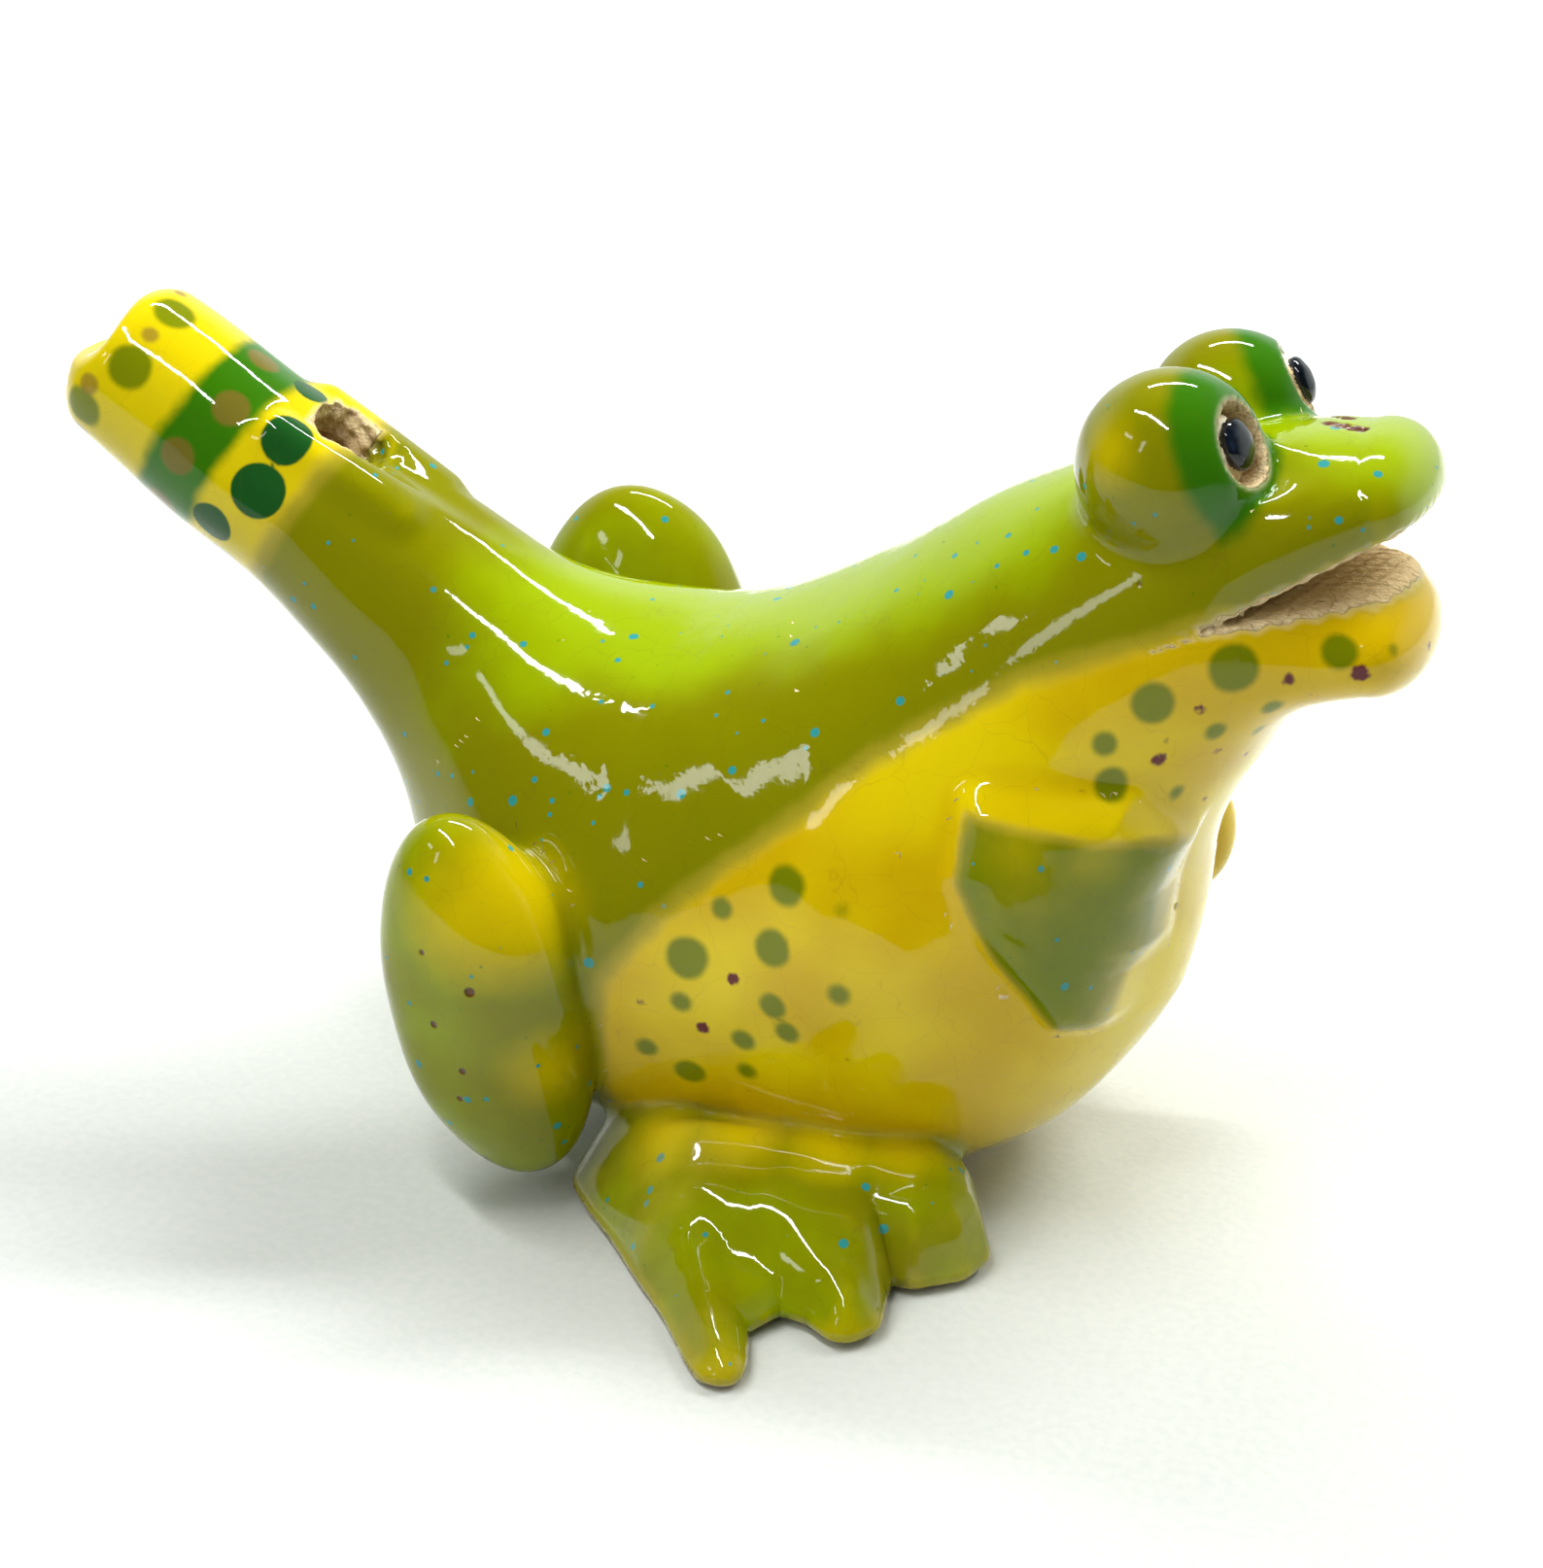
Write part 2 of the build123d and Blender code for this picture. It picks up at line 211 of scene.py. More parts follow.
def natural_spline(points, count):
    """Smooth curve through points, spaced by their first two coordinates."""
    points = np.array(points)
    knots = np.r_[0, np.cumsum(np.linalg.norm(np.diff(points[:, :2], axis=0), axis=1))]
    gap, last = np.diff(knots), len(points) - 1
    lhs, rhs = np.eye(last + 1), np.zeros_like(points)
    for i in range(1, last):
        lhs[i, i - 1:i + 2] = gap[i - 1], 2 * (gap[i - 1] + gap[i]), gap[i]
        rhs[i] = 6 * ((points[i + 1] - points[i]) / gap[i] - (points[i] - points[i - 1]) / gap[i - 1])
    bend = np.linalg.solve(lhs, rhs)
    s = np.linspace(0, knots[-1], count)
    i = np.clip(np.searchsorted(knots, s, "right") - 1, 0, last - 1)
    after, before, g = (s - knots[i])[:, None], (knots[i + 1] - s)[:, None], gap[i][:, None]
    curve = (bend[i] * before**3 + bend[i + 1] * after**3) / (6 * g)
    curve += (points[i] / g - bend[i] * g / 6) * before
    return curve + (points[i + 1] / g - bend[i + 1] * g / 6) * after


class OvalSweep:
    """Field of a body with oval sections along a curve in the middle plane, domed at its ends."""

    # points along the curve, and the cells in x and z that remember which of them is nearest
    SAMPLES, CELL, LOW, CELLS = 260, 0.5, (-75.0, -10.0), (270, 190)

    def __init__(self, stations, start_bulge, end_bulge):
        curve = natural_spline(stations, self.SAMPLES)
        tangent = np.gradient(curve[:, :2], axis=0)
        self.step = np.linalg.norm(tangent, axis=1).mean()
        tangent /= np.linalg.norm(tangent, axis=1)[:, None]
        self.curve = np.hstack([curve, tangent]).astype(np.float32)
        self.bulge = (np.float32(start_bulge), np.float32(end_bulge))
        u, v = np.meshgrid(*[np.arange(n) for n in self.CELLS], indexing="ij")
        cells = np.array(self.LOW) + (np.stack([u, v], -1) + 0.5) * self.CELL
        self.nearest = np.array([((row[:, None] - curve[:, :2]) ** 2).sum(-1).argmin(1) for row in cells])

    def __call__(self, p):
        x, z = p[..., 0], p[..., 2]
        u = np.clip(((x - self.LOW[0]) / self.CELL).astype(int), 0, self.CELLS[0] - 1)
        v = np.clip(((z - self.LOW[1]) / self.CELL).astype(int), 0, self.CELLS[1] - 1)
        position = self.nearest[u, v].astype(np.float32)
        last = self.SAMPLES - 1
        for _ in range(2):
            i = np.clip(np.rint(position).astype(int), 0, last)
            cx, cz, _, _, tx, tz = np.moveaxis(self.curve[i], -1, 0)
            position = i + ((x - cx) * tx + (z - cz) * tz) / self.step
            beyond = (position < 0) | (position > last)
            position = np.clip(position, 0, last)
        i = np.minimum(position.astype(int), last - 1)
        f = (position - i)[..., None]
        cx, cz, width, height, tx, tz = np.moveaxis(self.curve[i] * (1 - f) + self.curve[i + 1] * f, -1, 0)
        rise = (z - cz) * tx - (x - cx) * tz
        ahead = np.where(beyond, (x - cx) * tx + (z - cz) * tz, 0)
        bulge = np.where(position < last / 2, *self.bulge)
        return ellipsoid(np.stack([p[..., 1], rise, ahead], -1), np.stack([width, height, bulge], -1))


TAIL_MASS = OvalSweep(TAIL, TAIL_END_BULGE, BURIED_BULGE)
NECK_MASS = OvalSweep(NECK, BURIED_BULGE, SNOUT_BULGE)
JAW_MASS = OvalSweep(JAW, BURIED_BULGE, SNOUT_BULGE)
FUNNEL = OvalSweep([(x, z, h - WALL, h - WALL) for x, z, _, h in TAIL[FUNNEL_START:]], 1.0, BURIED_BULGE)


def node_box(node):
    """A CAD node's lowest and highest corner, in millimetres."""
    return [np.array(corner, np.float32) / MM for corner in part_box(node)]


NODE_BOXES = {node: node_box(node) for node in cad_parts}


def only_near(node, p, field, *given):
    """The field near a CAD node and a long way outside elsewhere; given values go with their points."""
    low, high = NODE_BOXES[node]
    close = ((p > low - LIMB_REACH) & (p < high + LIMB_REACH)).all(-1)
    out = np.full(p.shape[:-1], FAR, p.dtype)
    if close.any():
        out[close] = field(p[close], *[value[close] for value in given])
    return out


def mirrored(point, side):
    """A point given for the left side, on either side."""
    return (point[0], SIDES[side] * point[1], point[2])


def chamber(p, grow=0.0):
    return capsule(p, RUMP[0], RUMP[1] + grow, CHEST[0], CHEST[1] + grow)


def skull_and_jaw(p):
    """The neck with the upper head, and the throat with the lower jaw."""
    return smooth_min(NECK_MASS(p), JAW_MASS(p), JAW_BLEND)


def mound_centre(side):
    low, high = NODE_BOXES["eye_mound_" + side]
    return (low + high) / 2


def mound(p, side):
    low, high = NODE_BOXES["eye_mound_" + side]
    return ellipsoid(p - mound_centre(side), (high - low) / 2)


def thigh(p, side):
    centre, radii, (outward, backward) = THIGHS[side]
    a, b = math.radians(-SIDES[side] * outward), math.radians(backward)
    turn = np.array(Matrix.Rotation(a, 3, "X") @ Matrix.Rotation(b, 3, "Y"), p.dtype)
    return ellipsoid((p - np.array(mirrored(centre, side), p.dtype)) @ turn, np.array(radii, p.dtype))


def crest(x, y, start, end):
    """Height of a rounded crest between two points, falling off on both sides of it."""
    along_x, along_y = end[0] - start[0], end[1] - start[1]
    t = np.clip(((x - start[0]) * along_x + (y - start[1]) * along_y) / (along_x**2 + along_y**2), 0, 1)
    away = np.square(x - start[0] - t * along_x) + np.square(y - start[1] - t * along_y)
    return start[2] + (end[2] - start[2]) * t - CREST_FALL * away


def foot(p, side):
    """Webbed foot: a thick web that falls from the ankle, steps down, and rises to its crests."""
    x, y, z = p[..., 0], SIDES[side] * p[..., 1], p[..., 2]
    fall = (x - FOOT_RIDGE[0]) * FOOT_FALL[0] + (y - FOOT_RIDGE[1]) * FOOT_FALL[1]
    step_start, step_width, step_height = FOOT_STEP
    step = np.clip((y - step_start) / step_width, 0, 1)
    top = FOOT_RIDGE[2] - FOOT_SLOPE * fall - step_height * step * step * (3 - 2 * step)
    for start, end in FOOT_CRESTS:
        top = smooth_max(top, crest(x, y, start, end), 1.2)
    sides = polygon(x, y, WEB) - WEB_ROUND + 0.3 * np.maximum(z - 1.2, 0)
    flank_x, flank_y, out_x, out_y = FOOT_FLANK
    flank = (x - flank_x) * out_x + (y - flank_y) * out_y + 0.75 * z - 0.8
    d = smooth_max(smooth_max(sides * 0.95, flank * 0.8, 2.0), (z - top) * 0.8, 2.2)
    return smooth_max(d, 0.3 - z, 1.4)


def arm(p, side, skin):
    """Leaf-shaped flipper pressed on the chest; skin is the distance to the body under it."""
    x, z = p[..., 0], p[..., 2]
    middle_x, middle_z, swell, spread = ARM_SWELL
    rise = swell * np.exp(-(np.square(x - middle_x) + np.square(z - middle_z)) / spread**2)
    d = smooth_max(polygon(x, z, ARM_EDGE) - 0.7, skin - ARM_THICKNESS - rise, 2.6)
    d = smooth_max(d, ARM_INNER_Y - SIDES[side] * p[..., 1], 1.0)
    if side == "left":
        flap = p - np.array(ARM_FLAP[0], p.dtype)
        d = smooth_min(d, ellipsoid(flap, np.array(ARM_FLAP[1], p.dtype)), 2.0)
    return d


def torn_edge(p):
    """Short waves, -1 to 1, as a blade leaves them along a cut in damp clay."""
    x, y, z = p[..., 0], p[..., 1], p[..., 2]
    return np.sin(2.3 * x + 1.7 * y + 0.9 * z) * np.sin(1.9 * x - 3.1 * y + 1.4 * z + 1)


def between(section, following):
    """Direction in x and z from one section of the tail to another."""
    x, z = following[0] - section[0], following[1] - section[1]
    return x / math.hypot(x, z), z / math.hypot(x, z)


def mouthpiece_axes(p):
    """Coordinates along the mouthpiece from its first section, towards its upper side, and across."""
    cx, cz = between(TAIL[0], TAIL[1])
    x, z = p[..., 0] - TAIL[0][0], p[..., 2] - TAIL[0][1]
    return np.stack([x * cx + z * cz, z * cx - x * cz, p[..., 1]], -1)


def voicing(q):
    """Windway, window, ramp and bore, in the mouthpiece's coordinates."""
    half_slot, half_window = WINDWAY_WIDTH / 2, WINDOW_WIDTH / 2
    floor = WINDWAY_RISE - WINDWAY_HEIGHT / 2
    windway = block(q, (-20, floor, -half_slot), (WINDOW_START, floor + WINDWAY_HEIGHT, half_slot))
    window_end = WINDOW_START + WINDOW_LENGTH
    stretch = half_window / (WINDOW_LENGTH / 2 + 0.5)
    window = np.hypot((q[..., 0] - WINDOW_START - WINDOW_LENGTH / 2) * stretch, q[..., 2]) - half_window
    window = np.maximum(window, floor - q[..., 1])
    lip = WINDWAY_RISE + WINDWAY_HEIGHT / 4
    climb = math.atan2(RAMP_RISE, RAMP_LENGTH)
    over_ramp = (q[..., 0] - window_end) * math.sin(climb) - (q[..., 1] - lip) * math.cos(climb)
    beside = np.abs(q[..., 2]) - half_window + 0.5
    ramp = smooth_max(smooth_max(over_ramp, beside, 1.6), WINDOW_START - q[..., 0], 0.3)
    bore = capsule(q, (WINDOW_START + BORE_RADIUS, -BORE_DROP, 0), BORE_RADIUS,
                   (WINDOW_START + BORE_LENGTH, -BORE_DROP, 0), BORE_RADIUS)
    return np.minimum(np.minimum(windway, window), np.minimum(ramp, bore)) + TORN_WINDOW * torn_edge(q)


def window_shoulders(q):
    """Soft beads of clay raised along both sides of the window."""
    folded = np.stack([q[..., 0], q[..., 1], np.abs(q[..., 2])], -1)
    start, end, radius = WINDOW_SHOULDER
    return capsule(folded, start, radius, end, radius)


def window_groove(q):
    """Shallow groove that leads out of the window over the mouthpiece."""
    return capsule(q, *WINDOW_GROOVE)


def blow_dish(q):
    """Hollow across the end, which sets the upper lip back from the lower one."""
    (along, up), radius = BLOW_DISH
    return np.hypot(q[..., 0] - along, q[..., 1] - up) - radius


def mouth(p):
    """Wedge between palate and jaw that opens forwards from the end of the seam."""
    palate, jaw_top = slope_side(p, SEAM_END, PALATE_SLOPE), slope_side(p, SEAM_END, JAW_TOP_SLOPE)
    return np.maximum(palate, -jaw_top) + TORN_MOUTH * torn_edge(p)


def gaze(side):
    direction = np.array(mirrored(GAZE, side))
    return direction / np.linalg.norm(direction)


def eyeball_centre(side):
    return mound_centre(side) + EYEBALL_SET * gaze(side)


def about_gaze(p, side):
    """How far points lie along the gaze from the eyeball's middle, and how far off its line."""
    q = p - eyeball_centre(side).astype(p.dtype)
    along = q @ gaze(side).astype(p.dtype)
    return along, np.sqrt(np.maximum((q * q).sum(-1) - along**2, 0))


def socket(p, side):
    """Round pit in the mound that opens along the gaze."""
    along, radial = about_gaze(p, side)
    return np.maximum(np.maximum(radial - SOCKET_RADIUS, -along), mound(p, side) - 0.6)


def before_the_eye(p, side):
    """Clay of the head that would stand in front of the socket, trimmed square to the gaze."""
    along, radial = about_gaze(p, side)
    return np.maximum(radial - SOCKET_RADIUS - 1.0, SOCKET_RIM - along)


def nostrils(p):
    slits = [capsule(p, start, NOSTRIL_RADIUS, end, NOSTRIL_RADIUS) for start, end in NOSTRILS]
    return np.minimum.reduce(slits)


def masses(p):
    """Distance to each mass of clay on its own."""
    out = {"tail": TAIL_MASS(p), "chamber": chamber(p), "skull": skull_and_jaw(p)}
    skin = np.minimum(out["chamber"], NECK_MASS(p))
    for side in SIDES:
        for part, field in (("eye_mound_", mound), ("thigh_", thigh), ("foot_", foot)):
            out[part + side] = only_near(part + side, p, lambda near: field(near, side))
        out["arm_" + side] = only_near("arm_" + side, p, lambda near, under: arm(near, side, under), skin)
    return out


def clay(p, mass=None):
    """The fired frog: negative inside the clay."""
    m = mass or masses(p)
    q = mouthpiece_axes(p)
    near = ((q > NEAR_WINDOW[0]) & (q < NEAR_WINDOW[1])).all(-1)
    q = q[near]
    tail = m["tail"].copy()
    tail[near] = smooth_min(tail[near], window_shoulders(q), 1.8)
    tail[near] = smooth_max(tail[near], -window_groove(q), 1.0)
    tail[near] = smooth_max(tail[near], -blow_dish(q), 0.8)
    d = smooth_min(tail, m["chamber"], TAIL_BLEND)
    d = smooth_min(d, m["skull"], NECK_BLEND)
    for side in SIDES:
        for part, blend in LIMB_BLENDS.items():
            d = smooth_min(d, m[part + side], blend)
    d = smooth_max(d, -mouth(p), LIP_ROUND)
    hollow = smooth_min(chamber(p, -WALL), FUNNEL(p), 2.0)
    d = np.maximum(d, -hollow)
    d[near] = smooth_max(d[near], -voicing(q), CUT_ROUND)
    for side in SIDES:
        for cut, softness in ((before_the_eye, 1.0), (socket, CUT_ROUND)):
            hole = only_near("eye_mound_" + side, p, lambda x: cut(x, side))
            d = smooth_max(d, -hole, softness)
    d = smooth_max(d, -only_near("head", p, nostrils), 0.3)
    return smooth_max(d, -p[..., 2], 0.6)


PIECES = ["mouthpiece", "back_shell", "belly_shell", "head", "lower_jaw"]
PIECES += [part + "_" + side for part in ("eye_mound", "thigh", "foot", "arm") for side in SIDES]


def shares(p, mass=None):
    """How far each piece is from owning a point; the lowest one owns it."""
    m = mass or masses(p)
    above_seam = slope_side(p, SEAM_END, SEAM_SLOPE)
    cx, cz = between(TAIL[MOUTHPIECE_JOINT - 1], TAIL[MOUTHPIECE_JOINT + 1])
    joint_slope = math.degrees(math.atan2(cz, cx)) + 90
    past_joint = -slope_side(p, TAIL[MOUTHPIECE_JOINT][:2], joint_slope)
    pot, skull = np.minimum(m["chamber"], m["tail"]), np.maximum(m["skull"], 0)
    over, under = np.maximum(above_seam, 0), np.maximum(-above_seam, 0)
    inner, outer = np.maximum(past_joint, 0), np.maximum(-past_joint, 0)
    out = [pot + inner, pot + outer + under, pot + outer + over, skull + under, skull + over]
    for name in PIECES[len(out):]:
        limb = m[name] if name.startswith("eye_mound") else np.maximum(m[name], 0) + 1e-3
        out.append(limb)
    return np.stack(out)


def unevenness(p, wavelength, seed):
    """Gentle irregular waves, about -1 to 1, as fingers leave them in clay."""
    rng = np.random.default_rng(seed)
    total = np.zeros(p.shape[:-1])
    waves = 9
    for _ in range(waves):
        direction = rng.normal(size=3)
        direction *= 2 * math.pi / (wavelength * rng.uniform(0.7, 1.5) * np.linalg.norm(direction))
        total += np.sin(p @ direction + rng.uniform(0, 2 * math.pi))
    return total / math.sqrt(waves)


# --- meshing ---
def frog(p):
    """The clay's field and the pieces' shares of it."""
    mass = masses(p)
    return clay(p, mass), shares(p, mass)


def eye(p, side):
    """An eyeball, flattened in front, with the pupil's low bead on it, and their shares."""
    along, radial = about_gaze(p, side)
    ball = smooth_max(np.hypot(along, radial) - EYEBALL_RADIUS, along - EYEBALL_FACE, 0.5)
    ball += 0.10 * unevenness(p, 1.7, 21)
    dome = np.stack([radial, along - PUPIL_TOP + PUPIL_DOME], -1)
    bead = ellipsoid(dome, np.array([PUPIL_RADIUS, PUPIL_DOME])) + 0.02 * unevenness(p, 1.5, 22)
    return np.minimum(ball, bead), np.stack([np.zeros_like(bead), bead])


def handmade(p, mass=None):
    """The fired frog with its finger marks and the wavy flow of its glaze."""
    d = clay(p, mass)
    for height, wavelength, seed in FINGER_MARKS:
        d = d + height * unevenness(p, wavelength, seed)
    return d


def gradient(field, p, reach):
    """Direction in which the field grows, by differences over reach."""
    out = np.empty(p.shape)
    for axis in range(3):
        step = np.zeros(3)
        step[axis] = reach
        out[:, axis] = field(p + step) - field(p - step)
    return out / (2 * reach)


def settle(field, p, limit, rounds=2):
    """Moves points on to the field's surface."""
    start = p.copy()
    for _ in range(rounds):
        slope = gradient(field, p, 0.06)
        step = field(p)[:, None] * slope / np.maximum((slope * slope).sum(1), 0.05)[:, None]
        p = start + np.clip(p - step - start, -limit, limit)
    return p


def sampled(low, high, voxel, describe):
    """The field and the owning piece, counted from 1, at every point of a block; 0 is air.

    Cubes of points that lie well away from any surface take the values of their middle.
    """
    cube = 6
    blocks = np.ceil((high - low) / (voxel * cube)).astype(int) + 1
    index = np.stack(np.meshgrid(*[np.arange(n) for n in blocks], indexing="ij"), -1).reshape(-1, 3) * cube
    value, share = describe((low + voxel * (index + (cube - 1) / 2)).astype(np.float32))
    label = np.where(value < 0, share.argmin(0) + 1, 0)
    shape = tuple(blocks * cube)
    values, labels = np.empty(shape, np.float32), np.zeros(shape, np.int8)
    offsets = np.stack(np.meshgrid(*[np.arange(cube)] * 3, indexing="ij"), -1).reshape(-1, 3)
    close = np.abs(value) < 2.0 * cube * voxel
    for chosen, fine in ((~close, False), (close, True)):
        for some in np.array_split(np.flatnonzero(chosen), 1 + chosen.sum() // 2000):
            at = (index[some, None] + offsets).reshape(-1, 3)
            v, k = np.repeat(value[some], cube**3), np.repeat(label[some], cube**3)
            if fine:
                v, share = describe((low + voxel * at).astype(np.float32))
                k = np.where(v < 0, share.argmin(0) + 1, 0)
            values[tuple(at.T)], labels[tuple(at.T)] = v, k
    return values, labels


def crossings(low, voxel, value, label, describe):
    """Grid edges whose ends differ: the low end's index, the axis, both labels, and where they cross."""
    found = []
    for axis in range(3):
        here, there = [slice(None)] * 3, [slice(None)] * 3
        here[axis], there[axis] = slice(0, -1), slice(1, None)
        start = np.argwhere(label[tuple(here)] != label[tuple(there)])
        stop = start + np.eye(3, dtype=int)[axis]
        a, b = label[tuple(start.T)], label[tuple(stop.T)]
        fa, fb = value[tuple(start.T)].astype(float), value[tuple(stop.T)].astype(float)
        wall = (a > 0) & (b > 0)
        ends = [describe(low + voxel * e[wall])[1] for e in (start, stop)]
        row = np.arange(wall.sum())
        fa[wall], fb[wall] = [s[a[wall] - 1, row] - s[b[wall] - 1, row] for s in ends]
        gap = fa - fb
        t = np.where(np.abs(gap) > 1e-6, fa / np.where(gap == 0, 1, gap), 0.5)
        found.append((axis, start, a, b, np.clip(t, 0.02, 0.98)))
    return found


def surface_nets(low, high, voxel, describe, names):
    """Meshes a block's pieces at once: points, which of them touch air, {name: (faces, which touch air)}.

    Each grid cell that a surface passes holds one point, which all the pieces around it share.
    """
    value, label = sampled(low, high, voxel, describe)
    found = crossings(low, voxel, value, label, describe)
    cells, places, touches_air = [], [], []
    corners = {}
    for axis, start, a, b, t in found:
        u, v = (axis + 1) % 3, (axis + 2) % 3
        place = start + t[:, None] * np.eye(3)[axis]
        for du, dv in ((1, 1), (0, 1), (0, 0), (1, 0)):
            cell = start.copy()
            cell[:, u] -= du
            cell[:, v] -= dv
            key = np.ravel_multi_index(cell.T, label.shape)
            corners.setdefault(axis, []).append(key)
            cells.append(key)
            places.append(place)
            touches_air.append((a == 0) | (b == 0))
    cells, places, touches_air = np.concatenate(cells), np.concatenate(places), np.concatenate(touches_air)
    keys, index = np.unique(cells, return_inverse=True)
    outer = np.bincount(index, touches_air) > 0
    weight = np.where(outer[index], touches_air, True).astype(float)
    total = np.bincount(index, weight)
    points = np.stack([np.bincount(index, places[:, k] * weight) for k in range(3)], 1) / total[:, None]
    points = low + voxel * points
    meshes = {}
    for number, name in enumerate(names, 1):
        faces, outside = [], []
        for axis, start, a, b, t in found:
            quad = np.searchsorted(keys, np.stack(corners[axis], 1))
            faces += [quad[a == number], quad[b == number][:, ::-1]]
            outside += [b[a == number] == 0, a[b == number] == 0]
        meshes[name] = (np.concatenate(faces), np.concatenate(outside))
    return points, outer, meshes


def make_object(name, points, faces, outside, normals, measures, materials):
    """One mesh in metres: glaze or clay by face, smooth normals outside, and its measures as attributes."""
    used, index = np.unique(faces, return_inverse=True)
    index = index.reshape(faces.shape)
    mesh = bpy.data.meshes.new(name)
    mesh.vertices.add(len(used))
    mesh.vertices.foreach_set("co", (points[used] * MM).ravel())
    mesh.loops.add(index.size)
    mesh.loops.foreach_set("vertex_index", index.ravel())
    mesh.polygons.add(len(index))
    mesh.polygons.foreach_set("loop_start", np.arange(0, index.size, 4))
    mesh.polygons.foreach_set("loop_total", np.full(len(index), 4))
    mesh.polygons.foreach_set("material_index", np.where(outside, 0, 1))
    for material in materials:
        mesh.materials.append(material)
    mesh.update(calc_edges=True)
    for key, value in measures.items():
        mesh.attributes.new(key, "FLOAT", "POINT").data.foreach_set("value", value[used].astype(np.float32))
    mesh.polygons.foreach_set("use_smooth", np.ones(len(index), bool))
    corner = points[faces]
    flat = np.cross(corner[:, 2] - corner[:, 0], corner[:, 3] - corner[:, 1])
    flat /= np.maximum(np.linalg.norm(flat, axis=1), 1e-9)[:, None]
    loops = np.where(outside[:, None, None], normals[faces], flat[:, None, :])
    mesh.normals_split_custom_set(loops.reshape(-1, 3).tolist())
    piece = bpy.data.objects.new(name, mesh)
    bpy.context.scene.collection.objects.link(piece)
    return piece


# --- where each colour lies, as signed distances in millimetres ---
BELLY_EDGE = [             # outline of the yellow underside in the side view: x, z
    (60.0, 50.0), (28.5, 48.5), (16.0, 43.5), (6.5, 37.5), (-2.5, 30.0), (-8.0, 25.0), (-12.0, 20.0),
    (-13.5, 12.0), (-13.5, -9.0), (60.0, -9.0),
]
TIP_LENGTH, TIP_BAND = 17.2, (8.6, 2.7)   # the yellow tip's length; middle and half width of its green band
BARE_LENGTH = 17.6         # unglazed clay shows in the window as far as this along the mouthpiece
EYE_BAND = {"right": 3.2, "left": 2.1}    # the deep green round each eye starts this far along its gaze
MOUTH_CRACK = ((28.5, 48.0), (24.5, 46.5), 0.05)    # from the mouth's corner backwards: x, z, half width
RIDGE_REACH = 1.2          # glaze runs thin over ridges and thick in hollows of about this size
TIP_FLARE = 0.008          # how much wider the mouthpiece gets per millimetre
# lime stretches along the back and on the snout: both ends and radius
LIME_BACK = ((-22.0, 0.0, 35.0), (12.0, 0.0, 51.0), 11.0)
LIME_SNOUT = ((31.0, 0.0, 57.0), (40.0, 0.0, 56.5), 6.5)
# brushed spots on both flanks: x and z in the side view, and radius
FLANK_SPOTS = [
    (1.5, 29.0, 1.7), (0.5, 24.5, 1.5), (-6.0, 22.5, 1.7), (5.0, 32.5, 1.2), (5.5, 28.0, 1.1),
    (5.5, 22.0, 1.0), (0.5, 20.0, 1.1), (1.5, 18.0, 1.0), (-2.0, 16.5, 1.0), (-2.0, 13.5, 0.9),
    (-6.5, 12.5, 1.3), (-9.5, 14.5, 1.0), (-6.5, 19.0, 0.9), (-3.5, 26.5, 0.9), (25.0, 43.0, 1.6),
    (30.0, 45.5, 1.8), (36.5, 46.5, 1.3), (40.0, 46.5, 0.5), (22.0, 40.0, 1.0), (22.5, 37.0, 1.3),
    (29.0, 40.5, 0.9), (32.5, 42.0, 0.9), (31.5, 39.5, 0.7), (26.5, 35.5, 0.7),
]
FLANK_FLECKS = [
    (-9.5, 18.5, 0.6), (-2.5, 21.5, 0.5), (5.0, 25.0, 0.5), (-5.0, 17.0, 0.5), (-2.0, 11.5, 0.25),
    (4.0, 34.0, 0.3), (7.5, 25.5, 0.25), (20.5, 36.5, 0.35), (18.5, 18.5, 0.35), (6.0, 16.5, 0.2),
    (28.0, 42.5, 0.45), (33.5, 44.5, 0.55), (38.0, 45.0, 0.7), (26.0, 40.0, 0.35), (25.5, 38.5, 0.65),
    (29.0, 38.5, 0.4), (30.5, 37.0, 0.4), (42.0, 45.5, 0.35), (35.0, 43.0, 0.35), (28.0, 34.0, 0.35),
]
# dabs round the mouthpiece: distance along it, degrees from its top towards the right, and radius
TIP_GREEN_DABS = [(0.8, 14, 1.7), (1.3, 64, 1.8), (-0.1, 109, 1.7), (1.0, 158, 1.7), (0.6, -36, 1.6),
                  (1.2, -84, 1.8), (0.3, -130, 1.6)]
TIP_BLUSH_DABS = [(0.8, 39, 0.75), (-0.5, 91, 0.9), (-0.5, -11, 0.6), (0.2, 134, 0.8), (0.4, -60, 0.8),
                  (0.4, -108, 0.7), (8.0, -2, 1.4), (9.2, 45, 1.5), (8.2, 89, 1.5), (8.4, 135, 1.5),
                  (7.9, 178, 1.4), (8.6, -137, 1.5), (8.1, -92, 1.4), (8.5, -46, 1.5)]
TIP_DARK_DABS = [(12.1, -8, 1.5), (14.0, 40, 2.0), (14.7, 73, 2.15), (13.0, 112, 1.8), (14.4, 150, 2.0),
                 (13.6, -172, 1.8), (14.2, -135, 2.0), (13.2, -98, 1.8), (14.3, -52, 1.9)]
# where the green runs out to gold on each side: a point on the left, and radius
GOLD_PATCHES = [
    ((-19.0, 24.0, 26.0), 4.5), ((20.0, 13.0, 60.0), 1.2), ((17.5, 20.0, 33.5), 1.0),
    ((23.0, 18.0, 33.0), 1.0), ((-16.0, 24.0, 14.0), 2.0), ((-9.0, 20.5, 9.2), 2.8),
    ((-2.0, 19.5, 9.2), 2.8), ((4.0, 18.5, 9.1), 2.8), ((9.0, 17.5, 8.9), 2.2),
]
